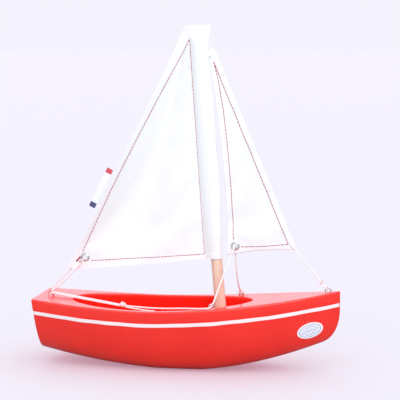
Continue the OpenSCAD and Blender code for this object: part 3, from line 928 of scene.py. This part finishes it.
def make_screw_eye(name, x, y, turn):
    """Wire bent round into a ring that stops short of the neck, on a threaded shank."""
    a = np.radians(np.linspace(-90, 246, 110))
    ring = xyz(EYE_RING * np.cos(a), 0, EYE_RING * np.sin(a))
    foot, waist, throat = np.outer(-EYE_RING - np.array([EYE_SHANK, 1.6 * MM, 0.5 * MM]), UPWARD)
    shank = spaced(np.array([foot, waist]), 0.12 * MM)
    line = np.concatenate([shank, [throat], ring[3:]])
    line = curve_through(line[::2], 0.12 * MM)
    c, s = math.cos(math.radians(turn)), math.sin(math.radians(turn))
    line = line @ np.array([[c, s, 0], [-s, c, 0], [0, 0, 1]])
    line = line + (x, y, float(deck_z(x)) + EYE_LIFT)

    def thread(angle, along):
        on_shank = smoothstep(along, 1 * MM, 1.6 * MM) * (1 - smoothstep(along, 6.2 * MM, 6.8 * MM))
        point = -EYE_WIRE / 2 * (1 - smoothstep(along, 0, 1.5 * MM))
        wave = np.cos(2 * math.pi * along / EYE_THREAD_PITCH - angle)
        return on_shank * EYE_THREAD_DEEP * wave + point

    shape = tube(line, EYE_WIRE / 2, 20, thread)
    make(name + "_wire", shape, ZINC, "hull", "screw_eye_steel", [name], sharp=60)


# ---------------------------------------------------------------- cloth

CLOTH = 0.36 * MM
SLACK = 0.004
# How much of the simulation's movement in the cloth's own plane stays: the hems hold it out
KEPT_IN_PLANE = 0.2


def bulge(c, h):
    """A belly's share of its full depth, at across and up."""
    return np.sin(math.pi * c) * np.sin(math.pi * h) ** 0.7


def area(a, b):
    """The signed area that two flat vectors span."""
    return a[..., 0] * b[..., 1] - a[..., 1] * b[..., 0]


class Panel:
    """A flat piece of sailcloth between four edges, and how far each part of it hangs off flat.

    across runs 0 to 1 from the leech to the luff, and up runs 0 to 1 from the foot to the head.
    """

    def __init__(self, leech, luff, foot, head):
        self.edges = [np.array(e, float) * MM for e in (leech, luff, foot, head)]
        self.shift = None

    def edge(self, which, t):
        line = self.edges[which]
        along = distances(line)
        return np.stack([np.interp(t, along / along[-1], line[:, k]) for k in (0, 1)], axis=-1)

    def flat(self, across, up):
        """x and z of points of the flat cloth."""
        across, up = np.broadcast_arrays(across, up)
        c, h = across[..., None], up[..., None]
        leech, luff, foot, head = [self.edge(k, t) for k, t in enumerate((up, up, across, across))]
        low, high = [(1 - c) * self.edges[0][k] + c * self.edges[1][k] for k in (0, -1)]
        corners = (1 - h) * low + h * high
        return (1 - c) * leech + c * luff + (1 - h) * foot + h * head - corners

    def locate(self, x, z):
        """across and up of points given by x and z, found by Newton's steps."""
        target = np.stack([x, z], axis=-1)
        a, h = np.full(np.shape(x), 0.5), np.full(np.shape(x), 0.4)
        tiny = 1e-4
        for _ in range(30):
            da = (self.flat(a + tiny, h) - self.flat(a - tiny, h)) / (2 * tiny)
            dh = (self.flat(a, h + tiny) - self.flat(a, h - tiny)) / (2 * tiny)
            miss = target - self.flat(a, h)
            det = area(da, dh)
            det = np.where(np.abs(det) < 1e-9, 1e-9, det)
            a = np.clip(a + np.clip(area(miss, dh) / det, -0.3, 0.3), 0, 1)
            h = np.clip(h + np.clip(area(da, miss) / det, -0.3, 0.3), 0, 1)
        return a, h

    def hang(self, across, up):
        """How far the cloth stands off flat there, as (x, y, z)."""
        across, up = np.broadcast_arrays(across, up)
        i, row_share = self.weights(up, self.shift.shape[0])
        j, column_share = self.weights(across, self.shift.shape[1])
        total = np.zeros((*across.shape, 3))
        for a in range(4):
            for b in range(4):
                total += (row_share[a] * column_share[b])[..., None] * self.shift[i[a], j[b]]
        return total

    @staticmethod
    def weights(t, count):
        """The four nearest of count even steps, and a smooth curve's share of each."""
        x = np.clip(np.asarray(t, float), 0, 1) * (count - 1)
        k = np.clip(np.floor(x).astype(int), 0, count - 2)
        u = x - k
        steps = [np.clip(k + d, 0, count - 1) for d in (-1, 0, 1, 2)]
        shares = [
            -0.5 * u + u**2 - 0.5 * u**3, 1 - 2.5 * u**2 + 1.5 * u**3,
            0.5 * u + 2 * u**2 - 1.5 * u**3, -0.5 * u**2 + 0.5 * u**3,
        ]
        return steps, shares

    def settle(self, held, push, frames=26, rows=44, columns=26):
        """Hangs the panel by cloth simulation: held(across, up) is true where it is sewn or tied."""
        c, h = np.meshgrid(np.linspace(0, 1, columns), np.linspace(0, 1, rows))
        flat = self.flat(c, h)
        rest = xyz(flat[..., 0], 0, flat[..., 1])
        grow = 10.0
        start = rest * grow
        start[..., 1] = grow * push * bulge(c, h)
        obj = make("panel", (start, grid_faces(rows, columns)), COTTON)
        group = obj.vertex_groups.new(name="held")
        group.add(np.flatnonzero(held(c, h).ravel()).tolist(), 1.0, "REPLACE")
        cloth = obj.modifiers.new("cloth", "CLOTH")
        cloth.settings.quality = 7
        cloth.settings.mass = 0.15
        cloth.settings.tension_stiffness = 25
        cloth.settings.compression_stiffness = 25
        cloth.settings.shear_stiffness = 8
        cloth.settings.bending_stiffness = 0.6
        cloth.settings.vertex_group_mass = "held"
        cloth.settings.shrink_min = -SLACK
        cloth.settings.effector_weights.gravity = 0.35
        cloth.collision_settings.use_self_collision = False
        cloth.point_cache.frame_start, cloth.point_cache.frame_end = 1, frames
        for at in range(1, frames + 1):
            bpy.context.scene.frame_set(at)
        self.shift = spots(baked(obj)).reshape(rows, columns, 3) / grow - rest
        self.shift[..., (0, 2)] *= KEPT_IN_PLANE
        bpy.data.objects.remove(obj)
        bpy.context.scene.frame_set(1)


# Places on the flat sails, as x and z in millimetres
MAIN_HEAD, MAIN_CLEW, MAIN_HEEL = (-0.8, 243), (-88.5, 69), (-82.5, 66.5)
SEAM_FOOT, SEAM_HEAD = (13.0, 78.2), (1.6, 243)
main_panel = Panel(
    leech=[MAIN_CLEW, (-73, 98.1), (-54.4, 134.5), (-35.9, 171.3), (-17.1, 208.8), MAIN_HEAD],
    luff=[SEAM_FOOT, SEAM_HEAD],
    foot=[MAIN_CLEW, MAIN_HEEL, (-60, 69.4), (-30, 72.8), (0, 76.2), SEAM_FOOT],
    head=[MAIN_HEAD, SEAM_HEAD],
)
jib_panel = Panel(
    leech=[
        (29, 80.4), (29.6, 98), (28.4, 120), (27.4, 135), (26, 150), (24.4, 165),
        (22.4, 180), (20.4, 195), (18.4, 207), (16.4, 219), (15.6, 224.5),
    ],
    luff=[(79, 86), (43.8, 170), (20.2, 226)],
    foot=[(29, 80.4), (41, 83.0), (53, 84.8), (66, 85.7), (79, 86)],
    head=[(15.6, 224.5), (17.4, 228), (20.2, 226)],
)
MAIN_SEAM = [
    (13, 81.1), (2.2, 233.5), (-17.2, 198.8), (-35.9, 163.9), (-55.0, 127), (-80, 73), (13, 81.1),
]
JIB_SEAM = [
    (73.1, 89.6), (19.2, 218), (22.8, 204.7), (26.3, 185.1), (28.6, 165.4), (30.6, 145.6),
    (32.0, 125.7), (33.2, 104), (33.6, 95.6), (35.2, 86.6), (52, 87.6), (73.1, 89.6),
]
MAIN_EYELET, JIB_EYELET, JIB_TACK = (-75.5, 76), (35, 87.4), (74.2, 90.2)
EYELET_HOLE, TACK_HOLE = 2.3 * MM, 0.8 * MM


def near_point(panel, c, h, at, radius):
    """True for parts of a panel that lie near a point."""
    return np.linalg.norm(panel.flat(c, h) - np.array(at) * MM, axis=-1) < radius


def main_held(c, h):
    """Where the mainsail is held: its sleeve's seam, its head and its clew."""
    return (c > 0.97) | (h > 0.975) | near_point(main_panel, c, h, MAIN_EYELET, 7 * MM)


def jib_held(c, h):
    """Where the jib is held: its luff, its head, its clew and its tack."""
    clew = near_point(jib_panel, c, h, JIB_EYELET, 6 * MM)
    tack = near_point(jib_panel, c, h, JIB_TACK, 6 * MM)
    return (c > 0.97) | (h > 0.94) | clew | tack


def settle_sails():
    main_panel.settle(main_held, 2.5 * MM)
    jib_panel.settle(jib_held, 1.6 * MM)


def hung(panel, x, z):
    """Where a point of the flat cloth lies once it hangs."""
    return xyz(x, 0, z) + panel.hang(*panel.locate(x, z))


EDGE_STEPS = np.array([0, 0.05, 0.15, 0.35, 0.6, 0.8, 0.9, 0.96])


def graded(near_low, near_high, count):
    """Steps from 0 to 1, finer next to either end."""
    middle = np.linspace(near_low, 1 - near_high, count)
    ends = [EDGE_STEPS * near_low, 1 - EDGE_STEPS * near_high]
    return np.unique(np.concatenate([middle, *ends]))


def seam_distance(x, z, seam):
    """How far points lie from a line of stitching."""
    p = np.stack([x, z], axis=-1)
    line = np.array(seam, float) * MM
    best = np.full(np.shape(x), 1.0)
    for a, b in zip(line[:-1], line[1:]):
        d = b - a
        t = np.clip(((p - a) @ d) / (d @ d), 0, 1)
        best = np.minimum(best, np.linalg.norm(p - a - t[..., None] * d, axis=-1))
    return best


def inside(x, z, seam):
    """True for points inside a closed line of stitching."""
    line = np.array(seam, float) * MM
    hits = np.zeros(np.shape(x), bool)
    for a, b in zip(line[:-1], line[1:]):
        crosses = (a[1] > z) != (b[1] > z)
        level = np.where(b[1] == a[1], 1e-12, b[1] - a[1])
        hits ^= crosses & (x < (b[0] - a[0]) * (z - a[1]) / level + a[0])
    return hits


def layers(x, z, seam):
    """Half the cloth's thickness: one layer inside the stitching and a folded hem outside it."""
    away = seam_distance(x, z, seam)
    hem = np.where(inside(x, z, seam), 1 - smoothstep(away, 0.35 * MM, 0.9 * MM), 1.0)
    groove = 0.13 * MM * np.exp(-((away / (0.5 * MM)) ** 2))
    return CLOTH / 2 + 0.24 * MM * hem - groove


def rounded_edge(distance):
    """The share of its thickness that the cloth keeps at a distance from its cut edge."""
    t = 1 - np.clip(distance / (0.4 * MM), 0, 1)
    return np.maximum(np.sqrt(np.clip(1 - t**2, 0, 1)), 0.12)


def cloth_grid(panel, up, leech, luff, count):
    """A grid over a panel, fine next to its leech and luff whatever the row's width.

    leech and luff are steps in millimetres, rising from the one and falling to the other.
    """
    width = np.linalg.norm(panel.edge(1, up) - panel.edge(0, up), axis=1)[:, None]
    leech, luff = np.array(leech) * MM, np.array(luff) * MM
    scale = np.minimum(1, width / (leech[-1] + luff[0] + 2 * MM))
    low, high = leech * scale, width - luff * scale
    middle = low[:, -1:] + (high[:, :1] - low[:, -1:]) * np.linspace(0, 1, count)[1:-1]
    across = np.concatenate([low, middle, high], axis=1) / width
    x, z = np.moveaxis(panel.flat(across, up[:, None]), -1, 0)
    return across, width, x, z, panel.hang(across, up[:, None])


# The sleeve's front edge, as z and x in millimetres
FRONT = [
    (79, 25.7), (94, 25.6), (108, 24.9), (123, 24.3), (137, 23.6), (151, 22.4), (165, 21.4),
    (180, 20.2), (194, 19.0), (208, 17.7), (222, 16.2), (230, 15.9), (236, 16.3), (243, 17.3),
]
SLEEVE_STEPS = 16
SLEEVE_R, HEAD_HALF = 4.62 * MM, 0.62 * MM
# Heights between which the sleeve flattens, the foot's hem ends and the head's band begins
FLATTENS, FOOT_HEM, BAND = (233.5 * MM, 240 * MM), (81.5 * MM, 82.2 * MM), (238.6 * MM, 239.4 * MM)
SLEEVE_TOP = 236.6 * MM


def sleeve_half(z, sunk):
    """x and half width round half of the sleeve from the seam to its front, sunk in from its face."""
    z = z[:, None]
    front_z, front_x = np.array(FRONT, float).T * MM
    seam_x, seam_z = np.transpose([SEAM_FOOT, SEAM_HEAD]) * MM
    ripple = 0.22 * MM * np.sin(z / (9.1 * MM)) + 0.15 * MM * np.sin(z / (3.7 * MM) + 1)
    front = np.interp(z, front_z, front_x) + ripple - sunk
    seam = np.interp(z, seam_z, seam_x)
    mast = MAST_X - math.tan(RAKE) * (z - FLOOR)
    flatten = smoothstep(z, *FLATTENS)
    round_width = SLEEVE_R + 0.10 * MM * np.sin(z / (12 * MM))
    width = round_width * (1 - flatten) + HEAD_HALF * flatten - sunk
    peak = np.clip((mast - seam) / (front - seam), 0.35, 0.68)
    lean = 0.5 * peak / (1 - peak)
    share = 1 - (1 - np.linspace(0, 1, SLEEVE_STEPS + 1)) ** 2
    round_shape = share**lean * (1 - share) ** 0.5 / (peak**lean * (1 - peak) ** 0.5)
    flat_shape = np.clip(1 - (2 * share - 1) ** 8, 0, 1) ** 0.5
    shape = (1 - flatten) * round_shape + flatten * flat_shape
    return seam + (front - seam) * share, np.maximum(width, 0.12 * MM) * shape


MAIN_LEECH_STEPS = [0, 0.12, 0.4, 1.2, 2.6, 4.2, 5.1, 5.7, 6.1, 6.7, 8.2]
MAIN_LUFF_STEPS = [4.2, 2.0, 1.0, 0.5, 0.2, 0]
JIB_STEPS = [0, 0.12, 0.4, 1.2, 2.6, 3.8, 4.6, 5.2, 5.8, 7.2]


def sleeve_skins(seam_z, panel_half):
    """Half of the sleeve's outside, with its head band and foot hem, and half of its inside."""
    height = seam_z[:, None]
    x, y = sleeve_half(seam_z, 0.0)
    y = y + 0.2 * MM * smoothstep(x, -0.01, 0.02) * smoothstep(height, *BAND)
    hem = 0.22 * MM * (1 - smoothstep(height, *FOOT_HEM))
    y = y + hem * np.minimum(y / (1 * MM), 1)
    y = np.maximum(y, panel_half * np.clip(1 - (x - x[:, :1]) / (2 * MM), 0, 1))
    deep = seam_z[seam_z < SLEEVE_TOP]
    in_x, in_y = sleeve_half(deep, CLOTH)
    in_x = np.maximum(in_x, in_x[:, :1] + 0.5 * MM)
    return xyz(x, y, height), xyz(in_x, np.maximum(in_y, 0.02 * MM), deep[:, None])


def mainsail_skin():
    """Panel, hems, sleeve and head band in one closed skin round the mast."""
    up = np.unique(np.concatenate([graded(0.034, 0.03, 84), [0.985, 0.99]]))
    across, _, x, z, shift = cloth_grid(main_panel, up, MAIN_LEECH_STEPS, MAIN_LUFF_STEPS, 30)
    half = np.minimum(layers(x, z, MAIN_SEAM), 0.45 * MM) + 0.2 * MM * smoothstep(z, *BAND)
    half = half * rounded_edge(x - main_panel.edge(0, up)[:, None, 0])
    roll = np.exp(-up / 0.006)[:, None] * smoothstep(across, 0.03, 0.2)
    sleeve, lining = sleeve_skins(main_panel.edge(1, up)[:, 1], half[:, -1:])
    starboard, port = [
        np.concatenate([
            xyz(x, side * half - 0.55 * MM * roll, z) + shift, (sleeve * (1, side, 1))[:, 1:],
        ], axis=1) for side in (-1, 1)
    ]
    outer = np.concatenate([starboard, port[:, ::-1][:, 1:]], axis=1)
    inner = np.concatenate([lining * (1, -1, 1), lining[:, ::-1][:, 1:-1]], axis=1)
    rows, columns = outer.shape[:2]
    in_rows, in_columns = inner.shape[:2]
    points, faces = merged([
        (outer, grid_faces(rows, columns, wrap=True)),
        (inner, grid_faces(in_rows, in_columns, wrap=True)[:, ::-1]),
    ])

    def port_at(k):
        return (columns - k) % columns

    # The foot, across the panel and then between the sleeve's two skins
    start = rows * columns
    last = x.shape[1] - 1
    faces += [[k, port_at(k), port_at(k + 1), k + 1] for k in range(last)]
    for k in range(SLEEVE_STEPS):
        a, b = last + k, last + k + 1
        faces.append([a, start + k, start + k + 1, b])
        mirrored = [start + (in_columns - n) % in_columns for n in (k + 1, k)]
        faces.append([port_at(a), port_at(b), *mirrored])
    faces.append([last, port_at(last), start])
    # The head, and the end of the sleeve's inside under it
    top = (rows - 1) * columns
    for k in range(last + SLEEVE_STEPS):
        faces.append([top + k, top + k + 1, top + port_at(k + 1), top + port_at(k)])
    faces.append([start + (in_rows - 1) * in_columns + k for k in range(in_columns)])
    return points, faces


def pierce(sail, panel, holes):
    """Cuts round holes through the cloth, each given as its place and its radius."""
    cutters = []
    for (x, z), radius in holes:
        start = hung(panel, x * MM, z * MM) - (0, 6 * MM, 0)
        cutters.append(cylinder(start, (0, 1, 0), radius, 12 * MM, 32))
    cut(sail, cutters, 70)


def make_mainsail():
    shape = mainsail_skin()
    sail = make("mainsail_cloth", shape, COTTON, "mainsail", "sailcloth", ["mainsail"],
                sharp=70, weld=True)
    x, _, z = spots(sail.data).T
    foot = main_panel.edges[2][1:]
    # Painted shade along the rolled foot, which the sailcloth turns into a pink tint.
    painted_foot_shade = np.exp(-np.abs(z - np.interp(x, foot[:, 0], foot[:, 1])) / (1.0 * MM))
    float_attribute(sail, "fold", painted_foot_shade * (x < 11 * MM) * (x > -80 * MM))
    pierce(sail, main_panel, [(MAIN_EYELET, EYELET_HOLE)])
    return sail


def make_jib():
    up = graded(0.04, 0.05, 70)
    across, width, x, z, shift = cloth_grid(jib_panel, up, JIB_STEPS, JIB_STEPS[::-1], 18)
    border = np.minimum(across, 1 - across) * width
    border = np.minimum(border, np.minimum(up, 1 - up)[:, None] * 145 * MM)
    half = layers(x, z, JIB_SEAM) * rounded_edge(border)
    front, back = [xyz(x, side * half, z) + shift for side in (-1, 1)]
    shape = folded(np.concatenate([front, back[:, ::-1]], axis=1))
    sail = make("jib_cloth", shape, COTTON, "jib", "sailcloth", ["jib"],
                sharp=70, weld=True)
    # The jib's foot gets no painted shade.
    float_attribute(sail, "fold", np.zeros(len(sail.data.vertices)))
    pierce(sail, jib_panel, [(JIB_EYELET, EYELET_HOLE), (JIB_TACK, TACK_HOLE)])
    return sail


STITCH, STITCH_GAP, THREAD_R = 2.3 * MM, 0.35 * MM, 0.24 * MM
# A stitch's arch: shares of its length, and how high it stands on the cloth
ARCH = np.array([0.0, 0.12, 0.35, 0.65, 0.88, 1.0])
ARCH_LIFT = np.array([-0.25, 0.05, 0.16, 0.16, 0.05, -0.25]) * MM
MAIN_RUNS = [
    [(13, 81.1), (2.2, 233.5)],
    [*MAIN_SEAM[1:5], (-75.0, 84.9)],
    [(-71.4, 73.6), (-26.7, 77.6), (13, 81.1)],
    [(-75.0, 84.9), (-77.4, 79.7)],
]
# Both of the mainsail's lines are back-stitched in the corner beyond its eyelet
MAIN_BARS = [[(-78.8 + k, 76.2 - k), (-82.2 + k, 72.6 - k)] for k in (-0.28, 0, 0.28)]
MAIN_BARS += [[(-77.4, 72.7 + k), (-80.4, 72.3 + k)] for k in (0, 0.4)]
JIB_RUNS = [
    JIB_SEAM[:2],
    [*JIB_SEAM[1:9], (34.0, 91.8)],
    [(39.0, 86.9), (52, 87.6), (73.1, 89.6)],
]


def stitch_line(panel, points, seam, step):
    """Separate stitches along a line, on both faces, each a short arch of thread."""
    line = np.array(points, float) * MM
    line = spaced(xyz(line[:, 0], 0, line[:, 1]), 0.25 * MM)
    total = line_length(line)
    count = int(round(total / step))
    along = np.linspace(0, total, len(line))
    starts = (np.arange(count) + 0.5) * total / count - STITCH / 2
    at = starts[:, None] + ARCH * STITCH
    x, z = np.interp(at, along, line[:, 0]), np.interp(at, along, line[:, 2])
    here, half = hung(panel, x, z), layers(x, z, seam)
    shapes = []
    for face in (-1, 1):
        for route in here + xyz(0, face * (half + ARCH_LIFT), 0):
            shapes.append(tube(route, THREAD_R, 8, laid(THREAD_R * 2), round_ends=False))
    return shapes


def make_stitches(body, panel, seam, runs, bars):
    """A sail's lines of stitching, and its bars of back-stitches."""
    shapes = []
    for points in runs:
        shapes += stitch_line(panel, points, seam, STITCH + STITCH_GAP)
    for points in bars:
        shapes += stitch_line(panel, points, seam, STITCH)
    node = body + "_stitching"
    make(body + "_stitches", merged(shapes), THREAD, body, "red_thread", [node], sharp=180)


# An eyelet's section, as radii and heights in millimetres from the cloth's two faces
EYELET_FACE = 0.42
DOME = [(3.3, 0), (3.32, 0.12), (3.1, 0.36), (2.8, 0.56), (2.5, 0.64), (2.2, 0.58), (2, 0.4), (1.9, 0.12)]
CLENCH = [(1.9, 0.25), (1.95, 0.5), (2.2, 0.68), (2.5, 0.66), (2.7, 0.52), (2.65, 0.42), (2.2, 0.4)]
WASHER = [(2.3, 0), (3.25, 0), (3.3, 0.08), (3.2, 0.22), (2.9, 0.34), (2.6, 0.38), (2.3, 0.34)]


def make_eyelet(name, panel, at, body):
    """A flanged eyelet whose dome faces starboard, clenched over a washer ring to port."""
    here = hung(panel, at[0] * MM, at[1] * MM)
    flange = [(r, EYELET_FACE + h) for r, h in DOME] + [(r, -EYELET_FACE - h) for r, h in CLENCH]
    washer = [(r, -EYELET_FACE - 0.02 - h) for r, h in WASHER]
    under = name.replace("eyelet", "washer")
    pieces = ((name, "_flange", flange + [(2.15, EYELET_FACE)]), (under, "_ring", washer))
    for node, suffix, profile in pieces:
        shape = turned_ring(np.array(profile) * MM, here)
        make(node + suffix, shape, NICKEL, body, "eyelet_nickel", [node], sharp=50)


# The ribbon's section, in millimetres: out from the leech, and aside from its middle
TAB_REACH = np.array([0.1, 0.7, 1.3, 2.6, 3.9, 4.5, 4.72, 4.8])
TAB_GAP = np.array([0.18, 0.20, 0.30, 0.50, 0.42, 0.30, 0.16, 0.0])
TAB_T, TAB_FROM, TAB_LONG, TAB_MIDDLE = 0.16, 115, 31, 130


def round_fold(reach, gap):
    """A section that runs out on one side of a fold and back on the other."""
    return np.concatenate([np.stack([reach, gap], 1), np.stack([reach, -gap], 1)[-2::-1]])


def make_tab():
    """A folded ribbon whose two ends are caught inside the leech's hem."""
    head, clew = np.array(MAIN_HEAD) * MM, np.array(MAIN_CLEW) * MM
    down = unit(clew - head)
    inner = round_fold(TAB_REACH - TAB_T * (TAB_REACH > 3), np.maximum(TAB_GAP - TAB_T, 0))
    reach, gap = np.concatenate([round_fold(TAB_REACH, TAB_GAP), inner[::-1]]).T * MM
    steps = np.linspace(0, 1, 60)
    t = steps[:, None]
    along = (TAB_FROM + TAB_LONG * t) * MM
    ripple = 0.25 * MM * np.sin(7 * t + 0.6) * (reach / (TAB_REACH[-1] * MM))
    middle = hung(main_panel, *(head + TAB_MIDDLE * MM * down + (0.5 * MM, 0)))[1]
    x = head[0] + along * down[0] + reach * down[1]
    z = head[1] + along * down[1] - reach * down[0]
    shape = folded(xyz(x, gap + ripple + middle, z))
    tab = make("leech_ribbon", shape, RIBBON, "mainsail", "ribbon", ["leech_tab"], sharp=60)
    float_attribute(tab, "along", np.repeat(steps, len(reach)))


# ---------------------------------------------------------------- ties at the jib

BOW_X = EYES["bow_eye"][0]
BOW_RING = np.array([BOW_X, 0, float(deck_z(BOW_X)) + EYE_LIFT])
TACK = np.array([JIB_TACK[0], 0, JIB_TACK[1]]) * MM
TO_TACK = unit(TACK - BOW_RING)
LASH_LEN = float(np.linalg.norm(TACK - BOW_RING)) / MM
# Legs from the knot, in millimetres: along the way to the tack, and aside to port
LASH_LEG = [(6.6, 0.55), (12, 0.6), (22, 0.7), (LASH_LEN - 6, 0.9), (LASH_LEN - 1.4, 0.9)]
LOOP_LEG = [(7, 0.6), (5, 1.5), (2.6, 1.9), (0.9, 1.4)]
KNOT_END = [(7.2, 0.8), (7.6, 1.9), (8.4, 3.0)]
HEAD_TIE_AT = MAST_FOOT + 201.7 * MM * MAST_UP + 6.35 * MM * MAST_FORWARD
HEAD_TIE_R = 1.8 * MM


def lash(along, aside=0.0):
    """A place along the way from the bow's ring to the jib's tack, and aside to port."""
    return BOW_RING + along * MM * TO_TACK + np.array([0, aside * MM, 0])


def lash_line(leg, turn):
    """A cord's line along a leg, round a turn on the centre line and back along the other leg."""
    route = leg + [(turn, 0)] + [(along, -aside) for along, aside in leg[::-1]]
    return curve_through([lash(*place) for place in route], 0.18 * MM)


def make_ties():
    line = lash_line(LASH_LEG, LASH_LEN)
    lashing = cord_piece("tack_lashing_cord", line, TIE, laid, 16, body="jib", replaces=["tack_lashing"])
    loop = lash_line(LOOP_LEG, 0.3)
    bow = cord_piece("bow_loop_cord", loop, TIE, laid, 16, body="jib", replaces=["bow_loop"])
    shapes = [overhand(lash(7.2), TO_TACK, 1.5 * MM, TIE, laid)]
    x, y, _ = across_axis(TO_TACK)
    for way in (x + 0.4 * y, -x + 0.5 * y):
        end = curve_through([lash(along) + out * MM * way for along, out in KNOT_END], KNOT_STEP)
        shapes.append(tube(end, TIE * 0.48, 14, laid(TIE)))
    knot = knot_piece("tack_knot", "jib", shapes)
    a = round_turn(90)
    ring = np.outer(np.cos(a), MAST_FORWARD) + np.outer(np.sin(a), (0, 1, 0))
    shape = tube(HEAD_TIE_R * ring + HEAD_TIE_AT, TIE / 2, 14, laid(TIE), closed=True)
    head = make("jib_head_tie", shape, CORD_YARN, slot="cord", replaces=["jib_head_loop"], sharp=180)
    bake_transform(head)


# ---------------------------------------------------------------- build

make_cords()
make_ties()
make_hull()
make_stripe("starboard_line", -1, "stripe_starboard")
make_stripe("port_line", 1, "stripe_port")
make_sticker()
for eye, where in EYES.items():
    make_screw_eye(eye, *where)
for node, material in (("mast", BEECH), ("ballast_slugs", STEEL), ("ballast_plugs", PLUG_RED)):
    nodes[node].data.materials.clear()
    nodes[node].data.materials.append(material)
settle_sails()
mainsail = make_mainsail()
jib = make_jib()
make_stitches("mainsail", main_panel, MAIN_SEAM, MAIN_RUNS, MAIN_BARS)
make_stitches("jib", jib_panel, JIB_SEAM, JIB_RUNS, [])
make_eyelet("mainsail_eyelet", main_panel, MAIN_EYELET, "mainsail")
make_eyelet("jib_eyelet", jib_panel, JIB_EYELET, "jib")
make_tab()

# ---------------------------------------------------------------- floor and light

SKY = (0.912, 0.893, 0.985)
# Each panel's place, its width and height, its power in watts and its colour
LIGHTS = {
    "key": ((0.5, -1.25, 0.9), (0.8, 0.8), 12.2, (1.0, 0.955, 0.96)),
    "top": ((-0.1, 0.1, 1.6), (1.6, 1.2), 4.6, (1.0, 0.99, 0.99)),
    "back": ((-0.4, 3.0, 1.05), (4.5, 1.3), 15, (0.88, 0.88, 1.0)),
}


def make_stage():
    """A wide pale floor that runs out to the same tone as the sky."""
    # The paper glows reddish, which shows as painted bounce light from the red hull in the shadow under
    # the boat; its base colour is lowered to match.
    f = Finish(
        "studio_paper", (0.955, 0.955, 0.955), Roughness=0.9,
        Emission_Color=(0.45, 0.22, 0.29, 1), Emission_Strength=1.0,
    )
    f.to("Base Color", f.mix(f.noise(f.place(), 3, 2), (0.48, 0.74, 0.712), (0.475, 0.735, 0.708)))
    f.to("Normal", f.bump(f.noise(f.place(), 300, 3), 0.05, 0.1 * MM))
    a = round_turn(96)
    radii = np.array([0.0, 0.3, 1.0, 3.0, 9.0, 30.0])[:, None]
    rings = xyz(radii * np.cos(a), radii * np.sin(a), 0)
    floor = make("floor", (rings, grid_faces(len(rings), 96, wrap=True)), f.material, weld=True)
    # The paper's own glow evens out its tone, and its reddish tint paints a pink bounce glow into the
    # boat's shadow on it: it does not light the boat
    paper_only = bpy.data.collections.new("paper_only")
    paper_only.objects.link(floor)
    floor.light_linking.receiver_collection = paper_only
    return floor


def add_light(name, place, size, power_w, colour, not_on):
    """A soft panel of light that lights the boat and not the paper it stands on."""
    lamp = bpy.data.lights.new(name, "AREA")
    lamp.shape = "RECTANGLE"
    lamp.size, lamp.size_y = size
    lamp.energy = power_w
    lamp.color = colour
    obj = bpy.data.objects.new(name, lamp)
    obj.visible_camera = False
    aim(obj, place, (0, 0, 0.1))
    shade = bpy.data.collections.new(name + "_not_on")
    shade.objects.link(not_on)
    obj.light_linking.receiver_collection = shade
    shade.collection_objects[0].light_linking.link_state = "EXCLUDE"


def light_scene(floor):
    """An even pale sky, and panels in front, above and behind."""
    world = bpy.data.worlds.new("studio")
    world.use_nodes = True
    world.node_tree.nodes["Background"].inputs["Color"].default_value = (*SKY, 1)
    bpy.context.scene.world = world
    bpy.context.scene.view_settings.view_transform = "Standard"
    for name, panel in LIGHTS.items():
        add_light(name, *panel, floor)


light_scene(make_stage())
